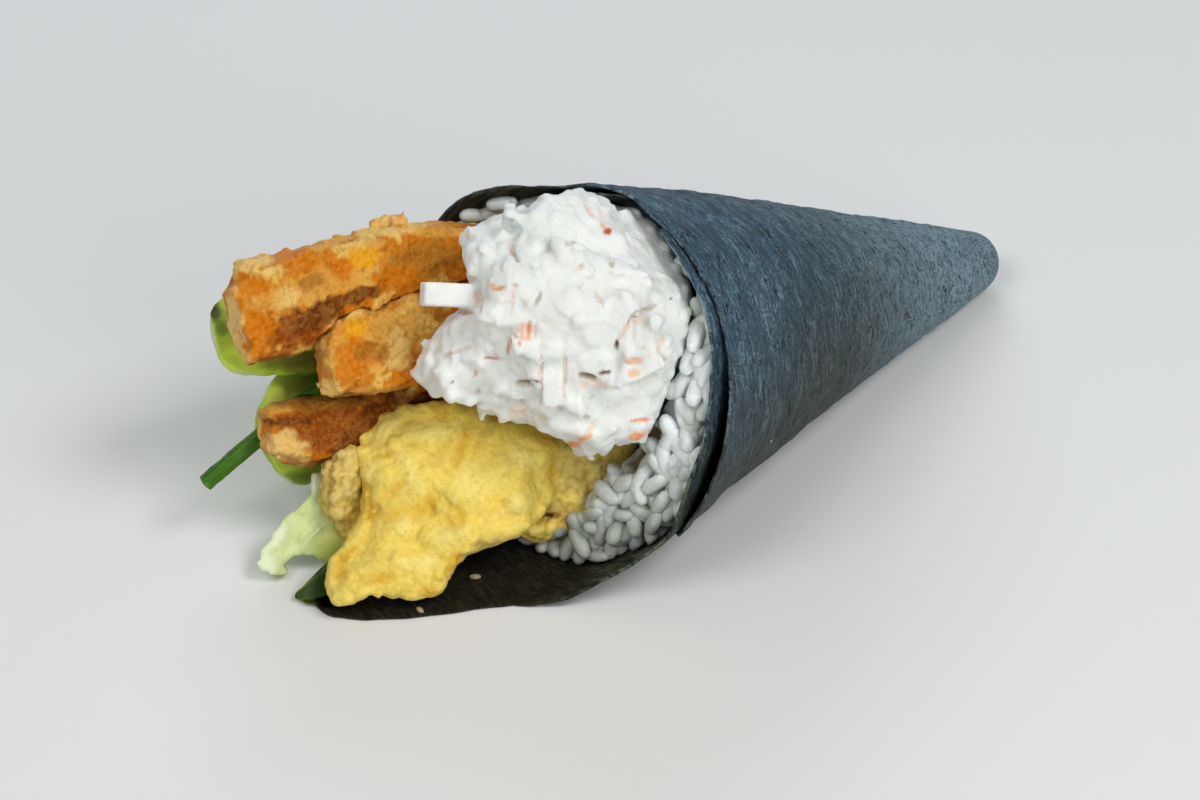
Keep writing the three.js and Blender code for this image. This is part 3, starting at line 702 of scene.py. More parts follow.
def nori_material(look):
    nori = Finish("roasted nori")
    ridge = nori.noise(1000, 5, 0.66, nori.stretched((150, 560, 1), nori.turned_map(0.22)), 1.6)
    flake = nori.noise(1000, 3, 0.66, nori.stretched((330, 980, 1), nori.turned_map(-0.20)), 1.8)
    fibre = nori.noise(1000, 3, 0.6, nori.stretched((900, 2400, 1)), 0.6)
    mottle = nori.noise(3.0, 5, 0.70, None, 0.8)
    patch = nori.noise(15, 3, 0.5)
    grain = nori.noise(0.5, 3, 0.75)
    line = nori.noise(1000, 2, 0.5, nori.stretched((170, 640, 1), nori.turned_map(0.12)), 2.2)
    line = nori.sum(nori.sum(line, -0.5), 0.0, "ABSOLUTE")
    crack = nori.sum(nori.range(line, 0.018, 0.045, 1, 0), nori.range(mottle, 0.49, 0.53), "MULTIPLY")
    # The outer face's mottle is partly the nori's own tone, partly painted shade in the low places of its
    # relief and painted highlights on the raised ones.
    relief = nori.blend(((mottle, 0.30), (ridge, 0.26), (flake, 0.16), (grain, 0.28)))
    dark, pale = (0.0220, 0.0480, 0.0720, 1), (0.285, 0.485, 0.640, 1)
    outside = nori.mix(nori.range(relief, 0.40, 0.465), dark, shade(look.outside))
    outside = nori.mix(nori.range(relief, 0.48, 0.57), outside, pale)
    outside = nori.mix(nori.range(patch, 0.36, 0.60, 0.40, 0), outside, shade(look.outside, 0.45))
    heights = nori.add("ShaderNodeSeparateXYZ")
    nori.put(heights, 0, nori.place())
    # Lower down the outer face turns darker and greener: partly the nori's own tone, partly painted shade.
    low = nori.range(heights.outputs["Z"], 0.018, 0.054, 0.95, 0.0)
    green = nori.mix(nori.range(relief, 0.40, 0.465), (0.0150, 0.0195, 0.0160, 1), (0.048, 0.060, 0.050, 1))
    green = nori.mix(nori.range(relief, 0.48, 0.57), green, (0.140, 0.172, 0.140, 1))
    outside = nori.mix(low, outside, green)
    # Towards the tip the outer face is painted paler and bluer: a painted sheen.
    tip = nori.range(heights.outputs["X"], 0.040, 0.095, 0.0, 0.8)
    tip_sheen = nori.mix(nori.range(relief, 0.42, 0.52), (0.105, 0.205, 0.262, 1), (0.46, 0.70, 0.84, 1))
    outside = nori.mix(tip, outside, tip_sheen)
    # Near-black along the cracks: painted shade in them.
    outside = nori.mix(nori.sum(crack, 0.92, "MULTIPLY"), outside, (0.003, 0.004, 0.005, 1))
    # Painted shade: near-black in the gap between the two layers.
    outside = nori.mix(nori.own("under"), outside, (0.0012, 0.0012, 0.0012, 1))
    inside = nori.mix(nori.range(fibre, 0.4, 0.75), shade(look.inside, 0.4), shade(look.inside, 1.5))
    olive = nori.range(nori.noise(2.6, 4, 0.7), 0.56, 0.70, 0, 0.6)
    inside = nori.mix(olive, inside, (0.075, 0.070, 0.030, 1))
    # The band by the cut edge: partly the nori's own tone, partly painted light lifting the roll's shade;
    # paler and bluer high up, darker on the far side.
    rim = nori.mix(nori.range(ridge, 0.40, 0.60), (0.030, 0.040, 0.028, 1), (0.26, 0.32, 0.21, 1))
    upper = nori.mix(nori.range(ridge, 0.40, 0.60), (0.090, 0.135, 0.170, 1), (0.36, 0.50, 0.60, 1))
    rim = nori.mix(nori.range(heights.outputs["Z"], 0.024, 0.046), rim, upper)
    far = nori.mix(nori.range(ridge, 0.40, 0.60), (0.030, 0.030, 0.018, 1), (0.130, 0.130, 0.085, 1))
    rim = nori.mix(nori.range(heights.outputs["Y"], 0.008, 0.022), rim, far)
    inside = nori.mix(nori.own("rim"), inside, rim)
    colour = nori.mix(nori.range(nori.own("inside"), 0.0, 0.5), outside, inside)
    wrinkles = nori.blend(((mottle, 0.9), (ridge, 1.2), (flake, 0.6)))
    normal = nori.bump(nori.sum(wrinkles, nori.sum(crack, -0.25, "MULTIPLY")), 2.4)
    normal = nori.bump(nori.sum(fibre, grain), 0.24, 1.0, normal)
    rough = nori.range(grain, 0.3, 0.8, 0.42, 0.62)
    dull = nori.sum(nori.own("inside"), nori.own("under"))
    return nori.close(
        Base_Color=colour, Roughness=rough, Normal=normal,
        Specular_IOR_Level=nori.range(dull, 0.0, 0.5, 0.36, 0.10),
    )


NORI_COLUMNS = 330
NORI_ROWS = 140
# The pattern's length round the cone for each radian that the sheet is wound, in millimetres.
NORI_PATTERN_RADIUS = 18.0


class HANDROLL_OT_nori(bpy.types.Operator):
    """Winds the sheet of nori into the cone, with its crinkles and its uneven cut edge"""

    bl_idname = "handroll.nori"
    bl_label = "Nori"

    def execute(self, context):
        look = settings("nori")
        sheet, wave = look.sheet / MM, look.wave / MM
        bm = bmesh.new()
        bmesh.ops.create_grid(bm, x_segments=NORI_COLUMNS, y_segments=NORI_ROWS, size=1)
        inside = bm.verts.layers.float.new("inside")
        rim = bm.verts.layers.float.new("rim")
        under = bm.verts.layers.float.new("under")
        place = bm.verts.layers.float_vector.new("place")
        result = bmesh.ops.extrude_face_region(bm, geom=bm.faces[:], use_keep_orig=True)
        for item in result["geom"]:
            if isinstance(item, bmesh.types.BMVert):
                item[inside] = 1.0
        bm.verts.ensure_lookup_table()
        flat = np.array([v.co for v in bm.verts])
        within = np.array([v[inside] for v in bm.verts])
        wound, along = (flat[:, 0] + 1) / 2 * WRAP, (flat[:, 1] + 1) / 2
        points, slant = sheet_points(wound, along, within * sheet, sheet, wave)
        points = self.crinkled(points, wound, slant, within, look.crinkle / MM)
        turn = START_TURN - wound
        share = slant / MOUTH_SLANT
        # Near the cut edge the inner face is marked for paler colours: partly the nori's own tone, partly
        # painted light where the roll shades that face.
        lit = smooth_step(share, 0.90, 0.985)
        lit *= np.maximum(0.85 * smooth_step(turn, 20, 48), 0.75 * (1 - smooth_step(turn, -70, -40)))
        # Where the first turn runs under the outer one, its outer face is marked for a near-black colour:
        # painted shade in the gap between the two layers.
        hidden = 1 - smooth_step(share - cut_edge(wound + 360), -0.034, -0.022)
        hidden = (wound < 125) * hidden * (1 - within)
        values = zip(bm.verts, points, np.radians(wound), slant, lit, hidden)
        for vertex, point, turned, out, light, dark in values:
            vertex.co = Vector(point) * MM
            vertex[place] = Vector((turned * NORI_PATTERN_RADIUS, out, 0)) * MM
            vertex[rim] = light
            vertex[under] = dark
        map_layer = bm.loops.layers.uv.new("UVMap")
        for face in bm.faces:
            for loop in face.loops:
                loop[map_layer].uv = loop.vert[place].xy
        bmesh.ops.recalc_face_normals(bm, faces=bm.faces)
        if bm.calc_volume(signed=True) < 0:
            bmesh.ops.reverse_faces(bm, faces=bm.faces)
        made = object_from(bm, "nori_sheet")
        made.data.attributes.remove(made.data.attributes["place"])
        finished(made, "nori_wrap", nori_material(look))
        return {"FINISHED"}

    @staticmethod
    def crinkled(points, wound, slant, within, height):
        """Crinkles the outer face round the cone; they stay off the floor line."""
        around = np.stack((np.radians(wound) * 3.4, slant / 3.0, np.zeros_like(slant)), axis=1)
        drawn = ripples(around, 1.0, 31, 3, 0.55)
        dents = np.minimum(ripple(around * (1.7, 0.6, 1), 1.0, 44) + 0.1, 0)
        lift = (height * drawn + 2.6 * height * dents) * smooth_step(slant, 18, 40) * (1 - within)
        lift *= smooth_step(points[:, 2], 0.2, 2.5)
        points = points + radial(START_TURN - wound) * lift[:, None]
        points[:, 2] = np.maximum(points[:, 2], 0)
        return points


# ---- The rice

def roll_places(points):
    """Turn, distance out of the mouth and radius of points, in the roll's own measures."""
    away = points - APEX
    axial = away @ OUTWARD
    aside = away - axial[:, None] * OUTWARD
    turn = np.degrees(np.arctan2(aside @ NEAR, -(aside @ UPWARD)))
    return turn, axial - MOUTH_AXIAL, np.linalg.norm(aside, axis=1)


def free_radius(turn, out):
    """The inside of the nori at a turn and a distance out of the mouth, in millimetres."""
    look = settings("nori")
    sheet = look.sheet / MM
    share = (MOUTH_AXIAL + out) / MOUTH_AXIAL
    wound = (START_TURN - turn) % 360
    layer = lap_depth(wound, share, sheet) + sheet - fullness(turn, share, look.wave / MM)
    layer += parting(wound, share)
    return (MOUTH_AXIAL + out) * math.tan(HALF_ANGLE) - layer / math.cos(HALF_ANGLE)


def rice_limit(turn, inward):
    """How far out the rice reaches: it falls back where it meets the nori."""
    edge = np.interp(turn, *np.array(RICE_EDGE, float).T)
    fall = 2.5 * smooth_step(turn, 5, 40) * (1 - smooth_step(turn, 85, 125))
    return edge - fall * (1 - smooth_step(inward, 0.5, 6))


def open_face(x, y):
    """Where a line of sight meets the rice's open face."""
    eye, way = np.array(EYE) / MM, np.array(line_of_sight(x, y))
    out = 0.0
    for _ in range(5):
        at = eye + way * ((MOUTH_CENTRE + OUTWARD * out - eye) @ OUTWARD / (way @ OUTWARD))
        turn, _, radius = roll_places(at[None])
        out = float(rice_limit(turn, free_radius(turn, np.array([out])) - radius)[0])
    return at


def rice_material(look):
    rice = Finish("cooked rice")
    cloud = rice.noise(2.2, 2, 0.5)
    pale = rice.mix(rice.range(cloud, 0.35, 0.7), shade(look.colour, 0.84), shade(look.colour, 1.08))
    colour = rice.mix(rice.range(rice.noise(7, 2, 0.5), 0.46, 0.62, 0, 0.75), pale, (0.58, 0.64, 0.57, 1))
    sides = rice.add("ShaderNodeSeparateXYZ")
    rice.put(sides, 0, rice.place())
    shaded = (0.24, 0.26, 0.21, 1)
    colour = rice.mix(rice.range(sides.outputs["Z"], 0.008, 0.026, 0.75, 0.0), colour, shaded)
    colour = rice.mix(rice.range(sides.outputs["Y"], 0.010, 0.020, 0.0, 0.35), colour, shaded)
    return rice.close(
        Base_Color=colour, Roughness=0.34, Normal=rice.bump(rice.noise(0.8, 2, 0.5), 0.08, 0.5),
        Subsurface_Weight=0.12, Subsurface_Radius=(1.0, 1.0, 0.95), Subsurface_Scale=1.0 * MM,
        Specular_IOR_Level=0.4,
    )


def bed_material(look):
    bed = Finish("packed rice")
    cloud = bed.noise(3, 3, 0.5)
    # The packed rice shows only between the grains and is painted darker than them: painted shade in the
    # gaps.
    colour = bed.mix(bed.range(cloud, 0.35, 0.7), shade(look.colour, 0.60), shade(look.colour, 0.85))
    colour = bed.mix(bed.own("mark", "Alpha"), colour, bed.own("mark", "Color"))
    return bed.close(
        Base_Color=colour, Roughness=0.5, Normal=bed.bump(cloud, 0.4, 0.6), Subsurface_Weight=0.8,
        Subsurface_Radius=(1.0, 0.97, 0.9), Subsurface_Scale=3.0 * MM, Specular_IOR_Level=0.3,
    )


# Painted shade: brown in the cavities beside the batter, and a greyer shade low on the open face.
RICE_COLOURS = {"brown": (0.16, 0.09, 0.028, 0.95), "shade": (0.16, 0.15, 0.10, 0.7)}
RICE_MARKS = (
    (640, 450, 20, 32, -20, "brown", -1.0), (662, 420, 8, 14, 20, "brown", -0.6),
    (690, 355, 5, 8, -10, "brown", -1.2), (560, 530, 40, 14, 0, "shade", -0.3),
)
# A picture outline that no scattered grain covers: the batter beside the rice.
RICE_FREE = (
    (540, 470), (590, 446), (646, 428), (664, 405), (658, 440), (645, 474), (622, 482), (604, 494),
    (592, 514), (540, 530),
)
# The rice's open face in the picture.
RICE_FACE = (
    (699, 326), (708, 330), (713, 350), (712, 380), (709, 410), (704, 436), (694, 460), (682, 480),
    (674, 505), (664, 524), (645, 536), (620, 549), (598, 562), (560, 566), (530, 560), (520, 545),
    (535, 530), (560, 527), (592, 518), (600, 498), (614, 486), (640, 482), (656, 462), (668, 436),
    (674, 410), (679, 386), (686, 360), (690, 340),
)
# The far side of the mouth, where thin grains stick to the sheet: picture x and the edge's y.
FAR_EDGE = ((446, 215), (470, 197), (500, 188), (545, 184))
# Single grains: picture x, y, tilt in degrees, and what they lie on.
PLACED_GRAINS = (
    (702, 338, 84, "rice_bed"), (706, 366, 80, "rice_bed"), (686, 386, 62, "rice_bed"),
    (698, 396, 84, "rice_bed"), (696, 420, 74, "rice_bed"), (684, 412, 100, "rice_bed"),
    (690, 440, 66, "rice_bed"), (680, 462, 62, "rice_bed"), (632, 484, 10, "rice_bed"),
    (648, 480, 40, "rice_bed"), (622, 496, 20, "rice_bed"), (604, 527, 62, "rice_bed"),
    (612, 512, 66, "rice_bed"), (637, 497, 30, "rice_bed"), (668, 458, 90, "rice_bed"),
    (672, 440, 40, "rice_bed"), (544, 546, 80, "nori_sheet"), (553, 549, 100, "nori_sheet"),
    (534, 541, 10, "nori_sheet"), (565, 546, 60, "nori_sheet"), (577, 551, 70, "nori_sheet"),
    (590, 553, 100, "nori_sheet"), (558, 536, 20, "nori_sheet"), (575, 538, 0, "nori_sheet"),
    (588, 540, 60, "nori_sheet"), (546, 532, 30, "nori_sheet"), (570, 526, 100, "nori_sheet"),
    (603, 546, 70, "nori_sheet"),
)


class HANDROLL_OT_rice(bpy.types.Operator):
    """Lays the bed of packed rice and covers its open edge with single grains"""

    bl_idname = "handroll.rice"
    bl_label = "Rice"

    def execute(self, context):
        look = settings("rice")
        bed = object_from(solid_copy("rice"), "rice_bed")
        mesh = fuse(bed, 0.7, 3)
        points = points_of(mesh) - normals_of(mesh) * 0.3
        turn, out, radius = roll_places(points)
        wall = free_radius(turn, out) - 0.6
        close = radius > wall
        squeezed = points - radial(turn) * (radius - wall)[:, None]
        points[close] = squeezed[close]
        packed = np.interp(turn, *np.array(PACKED_EDGE, float).T)
        built = np.maximum(np.interp(turn, *np.array(RICE_EDGE, float).T) - packed, 0)
        built *= smooth_step(out, packed - 7, packed - 1)
        points += OUTWARD * built[:, None]
        inward = np.maximum(wall - radius, 0)
        over = np.maximum(out + built - rice_limit(turn, inward) + 1.2, 0)
        points -= OUTWARD * over[:, None]
        put_points(mesh, points)
        points += normals_of(mesh) * (0.45 * beads(points, 3.0, 4) - 0.3)[:, None]
        put_points(mesh, points)
        mark(bed, RICE_MARKS, RICE_COLOURS)
        finished(bed, "rice", bed_material(look))
        self.grains(look)
        return {"FINISHED"}

    def grains(self, look):
        """Lays the grains: those with a place of their own, then scattered ones where there is room."""
        draw = np.random.default_rng(7)
        others = [
            BVHTree.FromBMesh(solid_copy(node))
            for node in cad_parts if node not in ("rice", "nori_wrap")
        ]
        rice_solid = BVHTree.FromBMesh(solid_copy("rice"))
        bm = bmesh.new()
        half = np.array((look.length, look.width, look.width)) / MM / 2
        laid = self.placed(bm, half, draw) + self.face(bm, half, draw)
        laid += self.far(bm, half, draw)
        tries = 0
        while len(laid) < look.grains and tries < look.grains * 16:
            tries += 1
            turn = draw.uniform(-180, 180)
            if draw.random() > 0.35 + 0.65 * math.exp(-(((turn - 45) / 75) ** 2)):
                continue
            inward = draw.uniform(1.2, 16.0 if -30 < turn < 120 else 6.5)
            out = float(rice_limit(turn, inward)) + 0.7 - 3.6 * draw.random() ** 1.5
            radius = free_radius(np.array(turn), out) - inward
            at = MOUTH_CENTRE + OUTWARD * out + radial(np.array(turn)) * radius
            place, direction, _, _ = rice_solid.find_nearest(Vector(at) * MM)
            above = (Vector(at) * MM - place).dot(direction) / MM
            if above > 0.9 or (above < -1.8 and inward > 8):
                continue
            (x, y), _ = (value[0] for value in in_picture(at[None]))
            if within(RICE_FREE, x, y):
                continue
            if any(np.sum((at - other) ** 2) < 2.2**2 for other in laid):
                continue
            lie = Vector(draw.normal(size=3))
            lie -= Vector(OUTWARD) * lie.dot(Vector(OUTWARD)) * draw.uniform(0.5, 1.0)
            if inward < 3.5:
                lie = lie.normalized() * 0.5 + Vector(np.cross(OUTWARD, radial(np.array(turn))))
            lie.normalize()
            size = draw.uniform(0.86, 1.1)
            if not self.clear(others, at, lie, half[0] * size):
                continue
            laid.append(at)
            self.grain(bm, at, lie, half * size, draw)
        made = object_from(bm, "rice_grains")
        mesh = made.data
        points = points_of(mesh)
        turn, out, radius = roll_places(points)
        over = np.maximum(radius - free_radius(turn, out) + 0.35, 0) * (np.abs(turn - 115) < 90)
        put_points(mesh, raised(points - radial(turn) * over[:, None], 0.4))
        finished(made, "rice", rice_material(look))

    def face(self, bm, half, draw):
        """Packs the open face with grains, a lower and an upper layer of them."""
        laid = []
        corners = np.array(RICE_FACE, float)
        for deep, apart in ((1.2, 2.1), (0.1, 3.1)):
            layer = []
            for _ in range(1500):
                x, y = draw.uniform(corners.min(0), corners.max(0))
                if not within(RICE_FACE, x, y):
                    continue
                at = open_face(x, y)
                at = at - OUTWARD * (deep + draw.uniform(0, 0.7))
                turn, out, radius = roll_places(at[None])
                if radius[0] > free_radius(turn, out)[0] - 2.0:
                    continue
                if any(np.sum((at - other) ** 2) < apart**2 for other in layer):
                    continue
                tilt = math.radians(draw.normal(78, 22) if x > 672 else draw.uniform(0, 180))
                lie = RIGHT * math.cos(tilt) + OVER * math.sin(tilt) + BACK * draw.uniform(-0.4, 0.4)
                self.grain(bm, at, lie.normalized(), half * draw.uniform(0.9, 1.16), draw)
                layer.append(at)
            laid += layer
        return laid

    @classmethod
    def far(cls, bm, half, draw):
        """Sticks thin grains to the sheet at the far side of the mouth."""
        laid = []
        tree = surface_of(bpy.data.objects["nori_sheet"].data)
        places, heights = zip(*FAR_EDGE)
        for _ in range(400):
            x = draw.uniform(places[0], places[-1])
            y = draw.uniform(10, 26) + np.interp(x, places, heights)
            place, out = seen_at(tree, x, y)
            if any(np.sum((place - other) ** 2) < 3.4**2 for other in laid):
                continue
            lie = RIGHT * draw.normal(1.0, 0.5) + OVER * draw.normal(0.3, 0.5)
            lie = (lie - Vector(out) * lie.dot(Vector(out))).normalized()
            cls.grain(bm, place + out * half[1] * 0.6, lie, half * (0.8, 1.0, 1.0), draw)
            laid.append(place)
        return laid

    def placed(self, bm, half, draw):
        """Lays the single grains that are seen one by one."""
        laid = []
        trees = {name: surface_of(bpy.data.objects[name].data) for name in ("rice_bed", "nori_sheet")}
        for x, y, tilt, under in PLACED_GRAINS:
            place, out = seen_at(trees[under], x, y)
            at = place + out * half[1] * 0.75
            lie = RIGHT * math.cos(math.radians(tilt)) + OVER * math.sin(math.radians(tilt))
            lie = (lie - Vector(out) * lie.dot(Vector(out))).normalized()
            self.grain(bm, at, lie, half * draw.uniform(0.92, 1.08), draw)
            laid.append(at)
        return laid

    @staticmethod
    def clear(others, at, lie, reach):
        """Whether a grain of a reach would lie free of the other fillings and of the floor."""
        for share in (-0.8, 0.0, 0.8):
            place = (Vector(at) + lie * (reach * share)) * MM
            for tree in others:
                found, direction, _, apart = tree.find_nearest(place)
                if apart < 0.9 * MM or (place - found).dot(direction) < 0:
                    return False
            if place.z < 1.6 * MM:
                return False
        return True

    @staticmethod
    def grain(bm, at, lie, half, draw):
        """One short grain: full along its length, round at the ends and slightly bent."""
        result = bmesh.ops.create_uvsphere(bm, u_segments=8, v_segments=8, radius=1)
        bend = draw.uniform(-0.14, 0.14)
        spin = Vector((1, 0, 0)).rotation_difference(lie).to_matrix()
        for vertex in result["verts"]:
            along = vertex.co.z
            round_share = math.sqrt(max(1 - along * along, 0))
            full = (1 - abs(along) ** 3.2) ** 0.5 / round_share if round_share > 1e-4 else 0
            shape = Vector((
                along * half[0],
                vertex.co.x * half[1] * full,
                vertex.co.y * half[2] * full * 0.9 + bend * (1 - along * along) * half[0],
            ))
            vertex.co = (Vector(at) + spin @ shape) * MM


# ---- The crab salad

CRAB_COLOURS = {
    # red, green, blue, strength
    "red": (0.60, 0.07, 0.02, 0.95),
    "orange": (0.86, 0.30, 0.10, 0.9),
    "peach": (0.92, 0.52, 0.30, 0.8),
    "blush": (0.90, 0.68, 0.54, 0.75),
    # Painted shade: the next two colours darken the crevices that their marks press in.
    "crevice_shade": (0.62, 0.50, 0.33, 0.75),
    "brown": (0.38, 0.19, 0.10, 0.85),
    "white": (0.94, 0.95, 0.94, 0.8),
    "dark": (0.05, 0.03, 0.03, 1.0),
}
CRAB_MARKS = (
    (608, 231, 5, 5, 40, "red", -0.2), (604, 226, 4, 3, -40, "peach", -0.1),
    (590, 211, 3, 9, 35, "blush", -0.3), (500, 288, 8, 3, 12, "orange", -0.2),
    (492, 286, 5, 3, 0, "peach", -0.1), (524, 333, 11, 10, 0, "blush", -0.2),
    (529, 330, 1.8, 10, -6, "orange", -0.2), (536, 330, 1.6, 9, -6, "peach", -0.2),
    (522, 332, 1.6, 9, -4, "peach", -0.2), (509, 346, 2.0, 10, -6, "orange", -0.4),
    (520, 343, 1.6, 6, 0, "orange", -0.2), (492, 358, 9, 1.8, -4, "orange", -0.3),
    (475, 374, 1.8, 5, -25, "peach", -0.4), (634, 360, 10, 4, -6, "peach", -0.1),
    (634, 373, 7, 5, 0, "peach", -0.1), (628, 362, 6, 1.6, -20, "orange", -0.1),
    (648, 309, 14, 2.4, 20, "crevice_shade", -1.0), (616, 345, 3, 6, -10, "brown", -1.2),
    (628, 326, 2.6, 16, -38, "blush", -0.8), (638, 318, 14, 6, 40, "blush", -0.3),
    (588, 377, 9, 4, -14, "brown", -1.1), (605, 373, 8, 2.2, 12, "brown", -0.9),
    (600, 385, 11, 5, 0, "blush", 0.1), (583, 386, 4, 5, 0, "blush", -0.2),
    (527, 383, 13, 3.2, 0, "crevice_shade", -1.3), (514, 255, 2.4, 10, 28, "crevice_shade", -1.1),
    (511, 247, 4, 3, 0, "blush", -0.4), (571, 243, 7, 1.8, 10, "crevice_shade", -0.7),
    (612, 262, 4, 5, 0, "crevice_shade", -0.6), (580, 268, 5, 2.5, 35, "blush", -0.6),
    (538, 300, 2.0, 9, -20, "crevice_shade", -0.7), (514, 285, 3, 2, 0, "blush", -0.5),
    (519, 411, 12, 8, 20, "blush", 0.2), (574, 444, 8, 4, 0, "orange", 0.1),
    (584, 438, 8, 3, 20, "orange", 0.1), (592, 427, 3, 9, -35, "blush", -0.2),
    (640, 420, 12, 2.2, 4, "orange", 0.2), (640, 427, 13, 3.4, 4, "white", 0.5),
    (637, 436, 9, 4, 8, "orange", 0.1), (645, 432, 5, 2, 8, "peach", 0.0),
    (452, 382, 1.5, 1.5, 0, "dark", 0.0), (671, 299, 1.2, 1.2, 0, "dark", 0.0),
    (478, 300, 4, 14, 0, "blush", -0.8), (462, 312, 13, 2.5, -4, "blush", -0.8),
    (560, 408, 3, 3, 0, "blush", -0.4), (541, 375, 1.8, 30, 0, "blush", -0.4),
    (565, 372, 1.6, 30, 0, "blush", -0.3), (586, 417, 4, 2, 0, "crevice_shade", -0.3),
    (478, 392, 2, 5, -30, "blush", -0.5), (512, 300, 2, 14, 0, "blush", -0.3),
    (455, 352, 16, 2, 20, "blush", -0.4), (600, 300, 2, 10, 30, "blush", -0.3),
    (660, 345, 2, 12, -20, "blush", -0.3),
)
CRAB_OUTLINE = (
    (575, 190), (587, 192), (605, 202), (622, 207), (637, 208), (642, 217), (655, 225), (665, 240),
    (675, 255), (685, 272), (691, 290), (693, 310), (692, 330), (687, 345), (682, 360), (675, 375),
    (667, 395), (660, 410), (652, 420), (647, 430), (630, 440), (615, 442), (605, 453), (590, 457),
    (575, 450), (562, 440), (550, 432), (537, 425), (525, 420), (508, 420), (490, 411), (476, 408),
    (460, 402), (445, 400), (430, 392), (415, 380), (411, 372), (420, 360), (425, 345), (438, 335),
    (446, 322), (456, 312), (468, 300), (470, 285), (465, 272), (464, 255), (462, 242), (467, 232),
    (480, 225), (490, 220), (500, 214), (515, 212), (525, 206), (540, 202), (555, 196),
)
CRAB_MIDDLE = (555, 325)
# Square cuts on the front: picture x, y, tilt in degrees, how far they stand out, and size.
CRAB_CUTS = (
    (553, 375, 0, 0.1, (3.4, 10.6, 1.6)),
    (505, 240, -42, 0.1, (3.2, 2.4, 1.6)),
    (638, 352, 25, 0.0, (6.5, 8.5, 1.5)),
)
# Lumps along the salad's rim: picture x, y and radius in pixels.
CRAB_RIM = (
    (422, 373, 11), (436, 388, 11), (452, 394, 10), (470, 400, 8), (482, 410, 6), (482, 418, 4),
    (431, 360, 9), (436, 346, 9), (450, 332, 10), (474, 268, 9), (473, 250, 10), (479, 236, 10),
    (494, 228, 9), (510, 220, 8), (527, 214, 8), (543, 210, 8), (560, 203, 8), (576, 198, 8),
    (592, 203, 9), (610, 211, 8), (626, 215, 8), (636, 215, 7), (650, 232, 8), (663, 250, 9),
    (675, 270, 8), (682, 290, 8), (685, 312, 8), (684, 332, 8), (676, 352, 8), (668, 372, 9),
    (660, 392, 8), (650, 410, 8), (640, 426, 9), (622, 434, 8), (606, 444, 9), (590, 448, 9),
    (576, 442, 8), (562, 431, 8), (548, 423, 8), (534, 416, 8), (516, 412, 9), (498, 405, 8),
)


def crab_material(look):
    crab = Finish("dressed crab")
    cloud = crab.noise(5, 3, 0.5)
    fibre = crab.noise(0.8, 4, 0.68)
    white = crab.mix(crab.range(cloud, 0.35, 0.7), shade(look.colour, 0.96), shade(look.colour, 1.04))
    # Painted shade in the creases.
    white = crab.mix(crab.own("hollow"), white, (0.74, 0.66, 0.52, 1))
    colour = crab.mix(crab.own("mark", "Alpha"), white, crab.own("mark", "Color"))
    return crab.close(
        Base_Color=colour, Roughness=0.48, Normal=crab.bump(fibre, 0.40, 0.8), Subsurface_Weight=0.6,
        Subsurface_Radius=(1.0, 0.86, 0.72), Subsurface_Scale=2.2 * MM, Specular_IOR_Level=0.3,
    )


